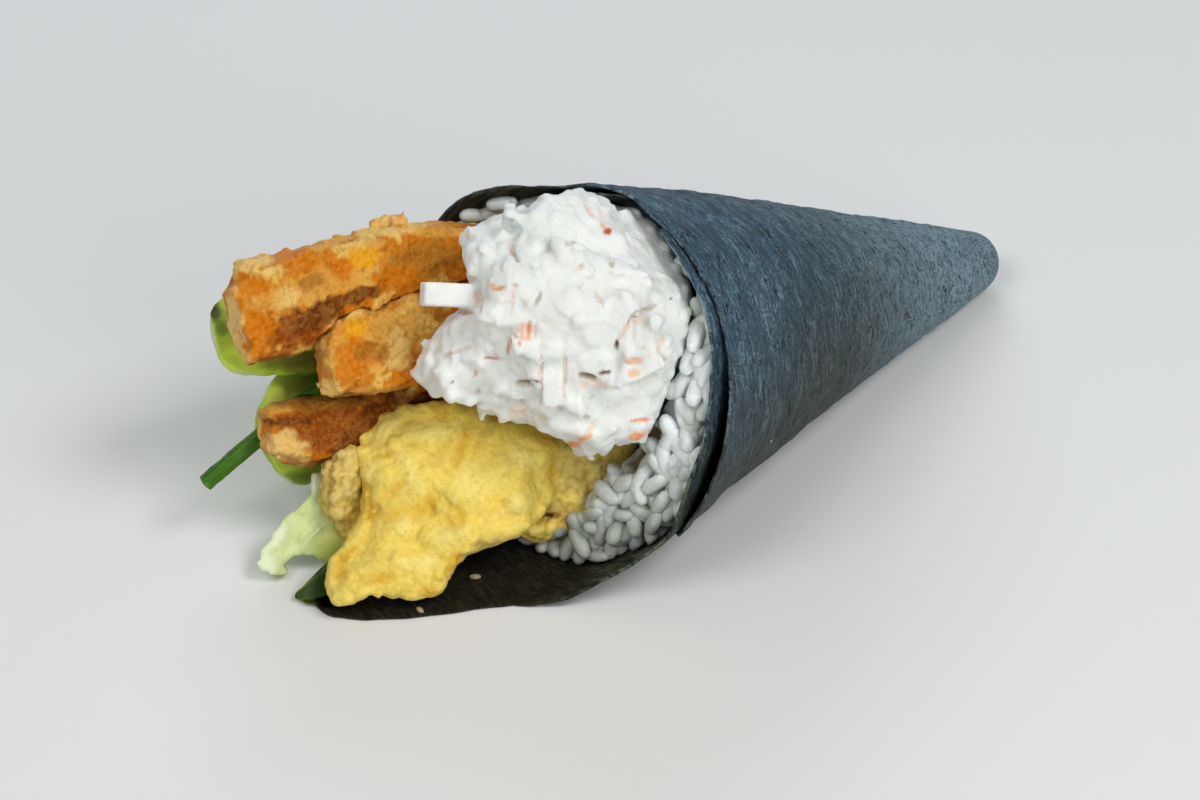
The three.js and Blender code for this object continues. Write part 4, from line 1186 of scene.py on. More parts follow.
class HANDROLL_OT_crab(bpy.types.Operator):
    """Heaps the crab salad: a core of flakes and shreds bound by dressing"""

    bl_idname = "handroll.crab"
    bl_label = "Crab salad"

    def execute(self, context):
        look = settings("crab")
        heap = object_from(solid_copy("crab_salad"), "crab_heap")
        mesh = fuse(heap, 0.8, 6)
        put_points(mesh, fitted(points_of(mesh), CRAB_OUTLINE, CRAB_MIDDLE))
        points, out = points_of(mesh), normals_of(mesh)
        seen, _ = in_picture(points)
        front = smooth_step(out @ TO_EYE, -0.35, 0.2)
        full = 0.09 * np.maximum(seen[:, 0] - 600, 0) + 0.05 * np.maximum(seen[:, 1] - 400, 0)
        put_points(mesh, points + TO_EYE * (full * front)[:, None])
        bm = bmesh.new()
        bm.from_mesh(mesh)
        tree = BVHTree.FromBMesh(bm)
        draw = np.random.default_rng(131)
        centre = MOUTH_CENTRE + OUTWARD * 9.5 + NEAR * -3.5 + UPWARD * 8
        laid = 0
        while laid < look.flakes:
            way = Vector(draw.normal(size=3)).normalized()
            if np.array(way) @ OUTWARD < -0.35:
                continue
            place, out, _, _ = tree.ray_cast(Vector(centre) * MM + way * 0.06, -way)
            if place is None:
                continue
            laid += 1
            at = np.array(place) / MM
            (x, y), _ = (value[0] for value in in_picture(at[None]))
            if x < 482 and 268 < y < 316:
                continue
            spin = Vector((0, 0, 1)).rotation_difference(out)
            spin = spin @ Quaternion((0, 0, 1), draw.uniform(0, math.pi))
            spin = spin @ Quaternion((0, 1, 0), draw.normal() * 0.22)
            if draw.random() < 0.22:
                size = (draw.uniform(2.5, 6.0), draw.uniform(1.2, 2.6), draw.uniform(0.7, 1.1))
                block(bm, at - np.array(out) * draw.uniform(0.15, 0.45), size, spin)
            else:
                size = (draw.uniform(1.0, 2.8), draw.uniform(0.8, 1.7), draw.uniform(0.4, 0.8))
                lump(bm, at - np.array(out) * draw.uniform(0.0, 0.3), size, spin)
        for x, y, radius in CRAB_RIM:
            place, _ = seen_at(tree, x, y)
            size = picture_size(radius)
            at = place - TO_EYE * 0.7 * size
            lump(bm, at, (size, size * 0.9, size * 0.85), any_turn(draw))
        self.pieces(bm, tree)
        bm.to_mesh(mesh)
        bm.free()
        mesh = fuse(heap, 0.40, 3)
        points, out = points_of(mesh), normals_of(mesh)
        lumps = beads(points + ripples(points, 2.5, 3, 2)[:, None] * 0.8, 2.4, 8)
        fine = ripples(points, 1.2, 15, 2)
        seen, _ = in_picture(points)
        calm = smooth_step(np.hypot(seen[:, 0] - 447, (seen[:, 1] - 294) * 1.6), 26, 36)
        height = (0.15 * lumps + 0.08 * fine - 0.06) * (0.3 + 0.7 * calm)
        put_points(mesh, points + out * height[:, None])
        # Painted shade: the creases between the lumps are tinted beige.
        crease = smooth_step(0.3 - lumps, 0, 0.3)
        broad = ripples(points, 6, 22, 2)
        give(mesh, "hollow", np.clip(crease * smooth_step(broad, -0.2, 0.5) * 0.8, 0, 1) * calm)
        mark(heap, CRAB_MARKS, CRAB_COLOURS, 0.3, 1.6, (0.5, 1.2), 3)
        finished(heap, "crab_salad", crab_material(look))
        return {"FINISHED"}

    @staticmethod
    def pieces(bm, tree):
        """The square-cut piece that stands out on the left, and the cuts that lie on the front."""
        upright = Matrix((RIGHT, OVER, BACK)).transposed().to_quaternion()
        place, _ = seen_at(tree, 476, 296)
        at = sight_place(450, 295, np.linalg.norm(place - EYE_MM) + 0.8)
        turned = Quaternion(OVER, math.radians(14)) @ Quaternion(BACK, math.radians(-2)) @ upright
        block(bm, at, (9.6, 3.9, 4.4), turned)
        for x, y, tilt, proud, size in CRAB_CUTS:
            place, _ = seen_at(tree, x, y)
            block(bm, place + TO_EYE * proud, size, Quaternion(BACK, math.radians(tilt)) @ upright)


# ---- Fried pieces

FRY_COLOURS = {
    "pale": (0.90, 0.60, 0.19, 0.9),
    "tan": (0.74, 0.36, 0.06, 0.9),
    "gold": (0.86, 0.38, 0.006, 0.95),
    "orange": (0.66, 0.18, 0.002, 0.95),
    "brown": (0.44, 0.165, 0.014, 0.9),
    "red": (0.26, 0.045, 0.002, 0.95),
    # Painted shadow: deep red-brown where the sticks lie in shade.
    "deep": (0.14, 0.025, 0.002, 0.95),
}
STICKS = {
    "fried_stick_upper": {
        "seed": 3,
        "marks": (
            (320, 285, 90, 24, 14, "tan", 0.0), (262, 338, 22, 32, 10, "orange", -0.2),
            (300, 328, 34, 22, 20, "red", -0.2), (318, 318, 30, 14, 20, "deep", -0.2),
            (345, 300, 50, 10, 18, "deep", -0.2), (297, 266, 20, 13, 16, "orange", -0.3),
            (258, 288, 20, 8, 14, "orange", -0.3), (312, 282, 16, 10, 14, "brown", -0.2),
            (340, 268, 16, 12, 10, "orange", -0.1), (364, 257, 16, 13, 10, "gold", 0.0),
            (425, 258, 38, 20, 8, "brown", -0.1), (395, 275, 30, 10, 14, "orange", -0.1),
            (250, 264, 24, 9, 14, "pale", 0.3), (395, 230, 38, 8, 6, "pale", 0.3),
            (440, 232, 30, 7, 4, "tan", 0.2), (330, 243, 26, 6, 14, "tan", 0.2),
            (235, 325, 9, 36, 6, "pale", 0.1), (287, 298, 15, 11, 24, "pale", 0.4),
            (268, 272, 8, 5, 0, "pale", 0.3), (308, 355, 16, 6, 20, "brown", 0.2),
            (390, 221, 20, 8, 0, "pale", 0.0), (402, 228, 8, 4, 0, "gold", 0.0),
            (376, 245, 14, 6, 10, "tan", 0.1),
        ),
        "crumbs": (
            (376, 224, 6), (384, 221, 6), (393, 220, 6), (401, 219, 5), (268, 257, 3), (408, 227, 4),
            (324, 242, 3), (340, 238, 3), (241, 270, 4), (425, 228, 4), (300, 290, 4), (312, 272, 3),
        ),
        "moves": ((217, 312, 225, 312), (230, 352, 238, 360), (225, 280, 230, 284)),
    },
    "fried_stick_middle": {
        "seed": 11,
        "marks": (
            (370, 340, 60, 40, 20, "tan", 0.0), (355, 330, 16, 11, 20, "gold", 0.0),
            (358, 358, 24, 19, 14, "orange", -0.2), (368, 352, 16, 10, 20, "brown", -0.2),
            (344, 374, 16, 11, 0, "orange", -0.1), (398, 352, 16, 24, 0, "pale", 0.3),
            (335, 312, 10, 18, -30, "pale", 0.3), (362, 306, 26, 7, 24, "pale", 0.3),
            (400, 290, 36, 8, 18, "pale", 0.2), (330, 388, 16, 9, -16, "pale", 0.3),
            (372, 390, 26, 6, 6, "tan", 0.2), (432, 300, 24, 16, 10, "tan", 0.0),
            (441, 316, 6, 8, 10, "brown", -0.2), (425, 345, 14, 16, 10, "tan", 0.0),
            (450, 283, 26, 6, 10, "brown", 0.0), (385, 352, 5, 12, -10, "brown", -0.4),
        ),
        "crumbs": (
            (329, 322, 4), (334, 314, 4), (345, 307, 3), (362, 300, 3), (323, 360, 3), (318, 383, 4),
            (325, 392, 4), (388, 342, 4), (398, 362, 4), (372, 298, 3), (388, 374, 3),
        ),
        "moves": ((310, 345, 320, 345), (309, 370, 316, 375), (335, 404, 335, 399), (360, 403, 360, 394)),
    },
    "fried_stick_lower": {
        "seed": 23,
        "marks": (
            (330, 420, 70, 40, 0, "red", 0.0), (305, 404, 50, 10, 6, "brown", 0.1),
            (278, 410, 22, 5, 4, "tan", 0.2), (350, 400, 40, 9, 8, "brown", 0.0),
            (400, 410, 50, 24, 14, "deep", 0.0), (345, 450, 20, 20, 20, "deep", 0.0),
            (286, 421, 32, 3.6, 2, "deep", -0.4), (285, 448, 28, 18, -12, "pale", 0.1),
            (326, 440, 14, 20, -20, "red", -0.1), (302, 464, 20, 4, -6, "tan", 0.2),
        ),
        "crumbs": (
            (264, 430, 3), (268, 446, 3), (282, 460, 3), (302, 464, 3),
        ),
        "moves": (),
    },
}


def fry_material(look, name):
    fry = Finish(name)
    grit = fry.noise(0.7, 4, 0.65)
    broad = fry.noise(6.5, 3, 0.55)
    base = fry.mix(fry.range(broad, 0.36, 0.66), shade(look.fried), shade(look.fried, 1.25))
    base = fry.mix(fry.range(fry.noise(3.2, 2, 0.5), 0.5, 0.8, 0, 0.55), base, (0.34, 0.09, 0.006, 1))
    pale = fry.mix(fry.range(grit, 0.35, 0.7), shade(look.crust, 0.85), shade(look.crust, 1.12))
    colour = fry.mix(fry.own("crust"), base, pale)
    colour = fry.mix(fry.own("mark", "Alpha"), colour, fry.own("mark", "Color"))
    # Darker in the creases between the crumbs and paler on their tops: partly the batter's own colour,
    # partly painted shade and painted highlight.
    colour = fry.mix(fry.range(fry.own("grit"), 0.0, 0.4, 0.24, 0.0), colour, (0.26, 0.06, 0.002, 1))
    colour = fry.mix(fry.range(fry.own("grit"), 0.55, 1.0, 0.0, 0.10), colour, (0.92, 0.56, 0.14, 1))
    colour = fry.mix(fry.range(grit, 0.34, 0.48, 0.22, 0.0), colour, (0.24, 0.06, 0.003, 1))
    colour = fry.mix(fry.range(grit, 0.54, 0.66, 0.0, 0.16), colour, (0.92, 0.52, 0.10, 1))
    # Painted shade: darker where the faces turn down.
    colour = fry.mix(fry.sum(fry.own("underside"), 0.9, "MULTIPLY"), colour, (0.20, 0.045, 0.002, 1))
    return fry.close(
        Base_Color=colour, Roughness=fry.range(grit, 0.3, 0.7, 0.26, 0.48),
        Normal=fry.bump(grit, 0.45, 0.9), Subsurface_Weight=0.15,
        Subsurface_Radius=(1.0, 0.45, 0.12), Subsurface_Scale=1.4 * MM,
        Specular_IOR_Level=0.30, Specular_Tint=(1.0, 0.62, 0.22, 1.0),
    )


def batter(bm, tree, crumbs, seed, count, size):
    """Sticks crumbs of batter on a piece: some at picture places, the rest scattered."""
    draw = np.random.default_rng(seed)
    for x, y, radius in crumbs:
        place, _ = seen_at(tree, x, y)
        reach = picture_size(radius)
        wanted = sight_place(x, y, np.linalg.norm(place - EYE_MM))
        for share in (0.1, 0.5, 0.9):
            at = place + (wanted - place) * share
            radii = np.array((1.15, 0.95, 0.8)) * reach * (1.15 - 0.25 * share)
            lump(bm, at, radii, any_turn(draw))
    bm.faces.ensure_lookup_table()
    areas = np.array([f.calc_area() for f in bm.faces])
    middles = [f.calc_center_median() for f in bm.faces]
    outs = [f.normal.copy() for f in bm.faces]
    areas *= [out.z > -0.3 for out in outs]
    for index in draw.choice(len(areas), count, p=areas / areas.sum()):
        spread = Vector(draw.normal(size=3)) * 1.2 * MM
        at = (middles[index] + spread - outs[index] * (spread.dot(outs[index]) + size * 0.3 * MM)) / MM
        reach = size * draw.uniform(0.5, 1.4)
        lump(
            bm, at, (reach, reach * draw.uniform(0.6, 1), reach * 0.5),
            Vector((0, 0, 1)).rotation_difference(outs[index]), 1,
        )


class HANDROLL_OT_sticks(bpy.types.Operator):
    """Makes the three battered and fried sticks, with their crags and crumbs"""

    bl_idname = "handroll.sticks"
    bl_label = "Fried sticks"

    def execute(self, context):
        look = settings("fry")
        material = fry_material(look, "fried batter")
        for node, form in STICKS.items():
            bm = solid_copy(node)
            bmesh.ops.recalc_face_normals(bm, faces=bm.faces)
            tree = BVHTree.FromBMesh(bm)
            batter(bm, tree, form["crumbs"], form["seed"], 90, 0.75)
            stick = object_from(bm, node.replace("fried", "battered"))
            mesh = fuse(stick, 0.36, 2)
            put_points(mesh, pulled(points_of(mesh), form["moves"], 16))
            points, out = points_of(mesh), normals_of(mesh)
            crags = ripples(points, 3.2, form["seed"], 3, 0.5)
            grit = beads(points, 0.9, form["seed"])
            patchy = ripples(points, 7, form["seed"] + 2, 2)
            crust = smooth_step(patchy + 0.45 * crags, 0.15, 0.4)
            height = look.crag / MM * crags + (0.10 + 0.22 * crust) * (grit - 0.4) + 0.20 * crust
            put_points(mesh, points + out * height[:, None])
            give(mesh, "crust", crust)
            give(mesh, "grit", smooth_step(grit + 0.3 * crags, 0.15, 0.75))
            # Painted shade on the faces that turn down.
            give(mesh, "underside", smooth_step(-out[:, 2], 0.0, 0.8))
            mark(stick, form["marks"], FRY_COLOURS, 0.4, 2.4, (0.62, 1.12), form["seed"])
            finished(stick, node, material)
        return {"FINISHED"}


TEMPURA_COLOURS = {
    # Partly the paler puffed batter, partly painted highlights on the raised puffs.
    "light": (0.93, 0.80, 0.26, 0.6),
    "gold": (0.74, 0.42, 0.02, 0.8),
    # Painted shade: the olive where the batter lies in the salad's shadow and in its hollows.
    "olive": (0.44, 0.36, 0.09, 0.8),
    "tan": (0.66, 0.47, 0.13, 0.8),
    "brown": (0.34, 0.21, 0.05, 0.8),
}
TEMPURA = {
    "tempura_front": {
        "seed": 40,
        "crumb": 0.30,
        "middle": (445, 500),
        "outline": (
            (360, 460), (362, 440), (372, 424), (380, 416), (395, 410), (415, 404), (440, 403), (460, 402),
            (480, 398), (505, 398), (530, 404), (550, 416), (566, 432), (574, 446), (566, 460), (562, 480),
            (552, 500), (543, 514), (530, 527), (510, 537), (485, 545), (467, 555), (455, 566), (445, 580),
            (440, 595), (425, 600), (400, 599), (380, 598), (366, 597), (358, 603), (346, 605), (333, 606),
            (329, 595), (326, 576), (330, 560), (349, 546), (352, 530), (361, 517), (361, 500), (358, 480),
        ),
        "marks": (
            (374, 474, 12, 16, 0, "light", 0.6), (400, 528, 18, 12, 30, "light", 0.5),
            (392, 492, 20, 7, 40, "gold", -0.8), (372, 512, 12, 6, 40, "gold", -0.6),
            (385, 455, 16, 3, 12, "gold", -0.5), (384, 428, 18, 8, 30, "light", 0.4),
            (440, 432, 34, 12, 5, "light", 0.3), (340, 575, 8, 16, 0, "gold", -0.4),
            (366, 604, 9, 6, 10, "brown", -0.4), (554, 470, 8, 18, 0, "gold", -0.3),
            (500, 415, 20, 8, 0, "gold", -0.4), (548, 440, 14, 10, -30, "gold", -0.2),
            (495, 541, 28, 7, 14, "tan", -0.2), (470, 480, 30, 20, 20, "light", 0.3),
            (450, 535, 24, 14, 20, "light", 0.3), (385, 578, 26, 6, 4, "gold", -0.5),
            (420, 562, 26, 10, 10, "light", 0.3), (430, 505, 16, 8, 60, "gold", -0.4),
            (520, 455, 26, 14, -10, "light", 0.3), (516, 505, 22, 10, 30, "light", 0.3),
            (350, 553, 14, 5, 30, "gold", -0.2), (455, 560, 5, 24, -30, "gold", -0.1),
            (334, 592, 6, 12, 0, "light", 0.2), (430, 592, 16, 5, 0, "gold", -0.1),
            (462, 445, 8, 30, -20, "gold", -0.3), (410, 470, 10, 26, 20, "light", 0.3),
        ),
        "puffs": (
            (372, 424, 9), (385, 419, 10), (402, 412, 9), (425, 409, 9), (450, 408, 9),
            (556, 456, 9), (553, 476, 10), (545, 494, 10), (535, 510, 10), (522, 522, 9),
            (505, 531, 9), (486, 538, 8), (466, 547, 8), (453, 561, 8), (440, 577, 9),
            (430, 590, 9), (412, 591, 8), (394, 590, 8), (378, 590, 8), (362, 593, 7),
            (347, 597, 8), (337, 597, 7), (336, 582, 8), (337, 568, 8), (350, 556, 9),
            (358, 540, 8), (366, 526, 8), (374, 512, 8), (369, 494, 9), (368, 474, 9),
            (366, 452, 9), (366, 438, 8), (400, 560, 15), (430, 538, 17), (460, 500, 20),
            (495, 470, 20), (430, 478, 18), (400, 448, 16), (455, 440, 18), (510, 505, 16),
        ),
        "near": 0.0,
        "grow": -1.0,
    },
    "tempura_back": {
        "seed": 57,
        "crumb": 0.6,
        "middle": (578, 480),
        "outline": (
            (530, 440), (560, 425), (600, 420), (630, 424), (652, 428), (646, 440), (634, 452), (626, 466),
            (618, 484), (608, 496), (600, 508), (588, 520), (560, 534), (535, 542), (515, 530), (520, 480),
        ),
        "marks": (
            (585, 470, 50, 40, 0, "olive", 0.0), (598, 470, 7, 20, -35, "light", 0.5),
            (612, 438, 12, 8, 0, "tan", 0.0), (560, 512, 26, 12, 0, "brown", -0.2),
            (578, 452, 14, 8, 0, "tan", 0.2), (590, 494, 10, 10, 0, "brown", -0.3),
        ),
        "puffs": (),
        "filled": [
            (545, 448), (572, 438), (600, 432), (626, 430), (638, 436), (630, 444), (618, 456), (612, 470),
            (606, 484), (598, 496), (588, 504), (572, 510), (552, 508), (540, 500),
        ],
        "size": 11,
        "near": 0.3,
        "level": (606, 474),
        "grow": 0.0,
    },
    "tempura_far": {
        "seed": 71,
        "crumb": 0.7,
        "marks": (
            (345, 470, 22, 36, 0, "tan", 0.0), (342, 515, 18, 24, 0, "tan", 0.0),
            (352, 495, 10, 16, 20, "olive", -0.3), (330, 450, 8, 18, 0, "tan", 0.2),
        ),
        "puffs": (),
        "filled": [
            (338, 452), (350, 440), (366, 442), (374, 480), (370, 515), (364, 536), (354, 542), (344, 528),
            (336, 508), (333, 480),
        ],
        "size": 8,
        "near": 2.2,
        "grow": 0.0,
    },
}


def tempura_material(look, name, dull, crumbly):
    crisp = Finish(name)
    grit = crisp.noise(0.9, 3, 0.6)
    broad = crisp.noise(6, 3, 0.5)
    light = crisp.mix(
        crisp.range(broad, 0.34, 0.66), shade(look.light, 0.90 * dull), shade(look.light, 1.04 * dull)
    )
    colour = crisp.mix(crisp.own("low"), light, shade(look.gold, dull))
    colour = crisp.mix(crisp.own("mark", "Alpha"), colour, crisp.own("mark", "Color"))
    colour = crisp.mix(crisp.range(grit, 0.34, 0.48, 0.25, 0.0), colour, (0.62, 0.36, 0.02, 1))
    colour = crisp.mix(crisp.range(grit, 0.54, 0.68, 0.0, 0.24), colour, (0.97, 0.88, 0.42, 1))
    grains = crisp.own("grit")
    colour = crisp.mix(crisp.range(grains, 0.0, 0.4, crumbly, 0.0), colour, (0.36, 0.22, 0.04, 1))
    colour = crisp.mix(crisp.range(grains, 0.5, 1.0, 0.0, crumbly), colour, (0.88, 0.68, 0.27, 1))
    return crisp.close(
        Base_Color=colour, Roughness=0.40, Normal=crisp.bump(grit, 0.40, 0.8), Subsurface_Weight=0.25,
        Subsurface_Radius=(1.0, 0.72, 0.18), Subsurface_Scale=1.2 * MM, Specular_IOR_Level=0.25,
        Specular_Tint=(1.0, 0.85, 0.4, 1.0),
    )


class HANDROLL_OT_tempura(bpy.types.Operator):
    """Makes the puffed yellow tempura and the two pieces behind it"""

    bl_idname = "handroll.tempura"
    bl_label = "Tempura"

    def execute(self, context):
        look = settings("tempura")
        materials = {
            "tempura_front": tempura_material(look, "tempura batter", 1.0, 0.12),
            "tempura_back": tempura_material(look, "shaded tempura batter", 0.98, 0.3),
            "tempura_far": tempura_material(look, "browned tempura batter", 0.70, 0.4),
        }
        for node, form in TEMPURA.items():
            bm = solid_copy(node)
            bmesh.ops.recalc_face_normals(bm, faces=bm.faces)
            piece = object_from(bm, "puffed_" + node)
            mesh = fuse(piece, 0.6, 8)
            put_points(mesh, points_of(mesh) + normals_of(mesh) * form["grow"])
            if "outline" in form:
                put_points(mesh, fitted(points_of(mesh), form["outline"], form["middle"]))
            bm = bmesh.new()
            bm.from_mesh(mesh)
            tree = BVHTree.FromBMesh(bm)
            draw = np.random.default_rng(form["seed"])
            for x, y, radius in form["puffs"] + self.filling(form, draw):
                place, _ = seen_at(tree, *form.get("level", (x, y)))
                reach = picture_size(radius)
                far = np.linalg.norm(place - EYE_MM) + 0.6 * reach - form["near"]
                at = sight_place(x, y, far)
                lump(bm, at, (reach, reach * 0.9, reach * 0.8), any_turn(draw))
            bm.to_mesh(mesh)
            bm.free()
            mesh = fuse(piece, 0.42, 5)
            points, out = points_of(mesh), normals_of(mesh)
            crumbs = beads(points, 1.2, form["seed"] + 8)
            warped = points + 1.6 * np.stack([ripple(points, 4.5, 90 + k) for k in range(3)], axis=1)
            puffs = beads(warped, 5.6, form["seed"])
            small = beads(warped, 2.0, form["seed"] + 4)
            fine = ripples(points, 1.2, form["seed"] + 6, 2)
            crag = form["crumb"] * ((small - 0.45) + 0.6 * (crumbs - 0.4))
            height = look.puff / MM * (puffs - 0.45) + crag + 0.06 * fine
            put_points(mesh, points + out * height[:, None])
            give(mesh, "grit", smooth_step(crumbs + 0.3 * fine, 0.15, 0.75))
            give(mesh, "low", smooth_step(0.5 - puffs + 0.2 * fine, 0.0, 0.5) * 0.75)
            mark(piece, form["marks"], TEMPURA_COLOURS, 0.45, 3.0, (0.1, 1.35), form["seed"])
            finished(piece, node, materials[node])
        return {"FINISHED"}

    @staticmethod
    def filling(form, draw):
        """Puffs all over a piece that is seen only in part, so that it has no holes there."""
        if "filled" not in form:
            return ()
        low, high = np.min(form["filled"], axis=0), np.max(form["filled"], axis=0)
        places = draw.uniform(low, high, (260, 2))
        inside = [(x, y) for x, y in places if within(form["filled"], x, y)]
        return tuple((x, y, form["size"] * draw.uniform(0.7, 1.1)) for x, y in inside)


# ---- Greens

GREEN_COLOURS = {
    "rim": (0.62, 0.74, 0.42, 0.8),
    "lime": (0.66, 0.74, 0.10, 0.85),
    "leaf": (0.14, 0.22, 0.02, 0.85),
    "dark": (0.022, 0.045, 0.008, 0.9),
    "cream": (0.80, 0.88, 0.62, 0.9),
    "fresh": (0.42, 0.48, 0.09, 0.85),
    # Painted shadow: the dark olive where the sticks shade the avocado.
    "olive": (0.14, 0.16, 0.015, 0.85),
}
# What lies right of this picture x is covered by the sticks.
AVOCADO_HIDDEN = 322
GREENS = {
    "avocado_upper": {
        "middle": (275, 330),
        "outline": (
            (245, 284), (228, 292), (209, 313), (211, 330), (216, 350), (224, 367), (232, 373), (255, 376),
            (277, 375), (300, 372), (325, 366), (345, 350), (350, 320), (320, 290), (280, 275),
        ),
        "marks": (
            (232, 296, 16, 12, 30, "lime", 0.0), (215, 313, 8, 11, 0, "dark", 0.0),
            (222, 328, 8, 9, 0, "leaf", 0.0), (214, 340, 2.2, 34, 10, "rim", 0.0),
            (240, 373, 30, 2.0, -6, "rim", 0.0), (296, 360, 40, 12, 8, "olive", 0.0),
        ),
        "colour": "avocado",
    },
    "avocado_lower": {
        "middle": (300, 425),
        "outline": (
            (277, 375), (300, 364), (330, 360), (348, 380), (345, 420), (330, 455), (320, 478), (306, 486),
            (290, 484), (278, 474), (269, 462), (258, 440), (255, 420), (262, 400),
        ),
        "marks": (
            (300, 382, 44, 18, 10, "olive", 0.0), (274, 396, 12, 16, 30, "lime", 0.0),
            (300, 478, 24, 8, 0, "leaf", 0.0), (266, 392, 2, 26, -28, "rim", 0.0),
            (284, 478, 20, 2, -30, "rim", 0.0),
        ),
        "colour": "avocado",
    },
    "green_strip": {
        "marks": ((206, 486, 4, 4, 0, "leaf", 0.0),),
        "colour": "skin",
    },
    "cucumber_pale": {
        "level": (285, 545),
        "slab": (
            (308, 471), (324, 468), (340, 470), (352, 500), (352, 546), (340, 560), (327, 566), (315, 559),
            (303, 555), (293, 556), (284, 564), (286, 570), (291, 573), (286, 576), (277, 577), (264, 574),
            (255, 566), (256, 556), (268, 539), (283, 518), (309, 495), (311, 489),
        ),
        "marks": (
            (264, 562, 14, 16, 30, "cream", 0.0), (274, 538, 8, 28, -40, "cream", 0.0),
            (330, 548, 22, 20, -30, "fresh", 0.0), (312, 536, 1.6, 20, -45, "rim", 0.2),
            (340, 520, 12, 24, 0, "fresh", 0.0), (316, 482, 8, 12, 0, "cream", 0.0),
        ),
        "colour": "cucumber",
    },
    "cucumber_dark": {
        "level": (318, 588),
        "slab": (
            (332, 556), (318, 568), (306, 580), (290, 595), (300, 602), (322, 608), (350, 608), (350, 560),
        ),
        "marks": ((314, 586, 34, 24, 20, "dark", 0.0), (305, 585, 1.6, 14, -50, "leaf", 0.0)),
        "colour": "skin",
        "floor": 0.75,
    },
}


def green_material(name, colour, gloss):
    green = Finish(name)
    cloud = green.noise(4, 3, 0.5)
    grain = green.noise(0.5, 2, 0.6)
    tone = green.mix(green.range(cloud, 0.35, 0.7), shade(colour, 0.85), shade(colour, 1.15))
    tone = green.mix(green.range(grain, 0.5, 0.8, 0, 0.22), tone, shade(colour, 1.7))
    tone = green.mix(green.own("rim"), tone, shade(colour, 2.0))
    tone = green.mix(green.own("mark", "Alpha"), tone, green.own("mark", "Color"))
    return green.close(
        Base_Color=tone, Roughness=gloss, Normal=green.bump(grain, 0.10, 0.4), Subsurface_Weight=0.2,
        Subsurface_Radius=(0.7, 1.0, 0.25), Subsurface_Scale=1.5 * MM, Specular_IOR_Level=0.22,
    )


class HANDROLL_OT_greens(bpy.types.Operator):
    """Cuts the avocado slices and the cucumber strips"""

    bl_idname = "handroll.greens"
    bl_label = "Greens"

    def execute(self, context):
        look = settings("greens")
        materials = {
            "avocado": green_material("avocado flesh", look.avocado, 0.40),
            "cucumber": green_material("cucumber flesh", look.cucumber, 0.32),
            "skin": green_material("cucumber skin", look.skin, 0.38),
        }
        for seed, (node, form) in enumerate(GREENS.items()):
            bm = solid_copy(node)
            if "slab" in form:
                bm = self.slab(bm, form["slab"], form["level"])
            piece = object_from(bm, "sliced_" + node)
            mesh = fuse(piece, 0.42 if form["colour"] == "avocado" else 0.3, 6 if "slab" in form else 3)
            if "outline" in form:
                put_points(mesh, fitted(points_of(mesh), form["outline"], form["middle"], AVOCADO_HIDDEN))
            points = points_of(mesh)
            soft = 0.18 * ripples(points, 5, seed, 2) + 0.05 * ripple(points, 1.1, seed)
            put_points(mesh, raised(points + normals_of(mesh) * soft[:, None], form.get("floor", 0.1)))
            give(mesh, "rim", self.rim(mesh, points, form["colour"]))
            mark(piece, form["marks"], GREEN_COLOURS, 0.2, 3.0, (0.4, 1.25), seed)
            finished(piece, node, materials[form["colour"]])
        return {"FINISHED"}

    @staticmethod
    def slab(solid, outline, level):
        """Fills an outline with small lumps, at the depth of a solid: they fuse into an even slice."""
        nearest, _ = seen_at(BVHTree.FromBMesh(solid), *level)
        far = np.linalg.norm(nearest - EYE_MM)
        bm = bmesh.new()
        low, high = np.min(outline, axis=0), np.max(outline, axis=0)
        for x in np.arange(low[0], high[0], 4.0):
            for y in np.arange(low[1], high[1], 4.0):
                ring = [(x + 3.5 * math.cos(turn), y + 3.5 * math.sin(turn)) for turn in range(6)]
                if not all(within(outline, *corner) for corner in ring):
                    continue
                place = sight_place(x, y, far + 0.03 * (x - level[0]))
                for deep in (0.8, 2.0, 3.2):
                    lump(bm, place - TO_EYE * deep, (0.85, 0.85, 0.85), None, 1)
        return bm

    @staticmethod
    def rim(mesh, points, kind):
        """The paler line where a slice's face turns into its side."""
        spread = points - points.mean(0)
        axes = np.linalg.eigh(spread.T @ spread)[1]
        across = np.abs(normals_of(mesh) @ axes[:, 0])
        line = np.exp(-(((across - 0.6) / 0.22) ** 2))
        return line * {"avocado": 0.45, "cucumber": 0.2, "skin": 0.5}[kind]


# ---- Crumbs

CRUMBS = (
    # picture x, y, half length and half width in millimetres, colour
    (475, 578, 1.1, 0.6, (0.75, 0.75, 0.72)),
    (770, 441, 0.5, 0.3, (0.85, 0.85, 0.82)),
    (420, 611, 0.9, 0.5, (0.30, 0.26, 0.18)),
)


class HANDROLL_OT_crumbs(bpy.types.Operator):
    """Drops the few crumbs that lie on the nori"""

    bl_idname = "handroll.crumbs"
    bl_label = "Crumbs"

    def execute(self, context):
        bm = bmesh.new()
        tint = bm.verts.layers.float_color.new("tint")
        draw = np.random.default_rng(5)
        tree = surface_of(bpy.data.objects["nori_sheet"].data)
        for x, y, length, width, colour in CRUMBS:
            place, out = seen_at(tree, x, y)
            before = set(bm.verts)
            spin = Vector((0, 0, 1)).rotation_difference(Vector(out))
            spin = spin @ Quaternion((0, 0, 1), draw.uniform(0, 3))
            lump(bm, place + out * width * 0.5, (length, width, width * 0.8), spin)
            for vertex in set(bm.verts) - before:
                vertex[tint] = (*colour, 1)
        crumbs = object_from(bm, "loose_crumbs")
        finish = Finish("loose crumbs")
        grain = finish.noise(0.6, 2, 0.6)
        specks = finish.range(grain, 0.3, 0.7, 0, 0.3)
        colour = finish.mix(specks, finish.own("tint", "Color"), (0.5, 0.42, 0.3, 1))
        shade_smooth(crumbs.data)
        crumbs.data.materials.append(finish.close(Base_Color=colour, Roughness=0.5))
        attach(crumbs, "root")
        return {"FINISHED"}


# ---- The stage

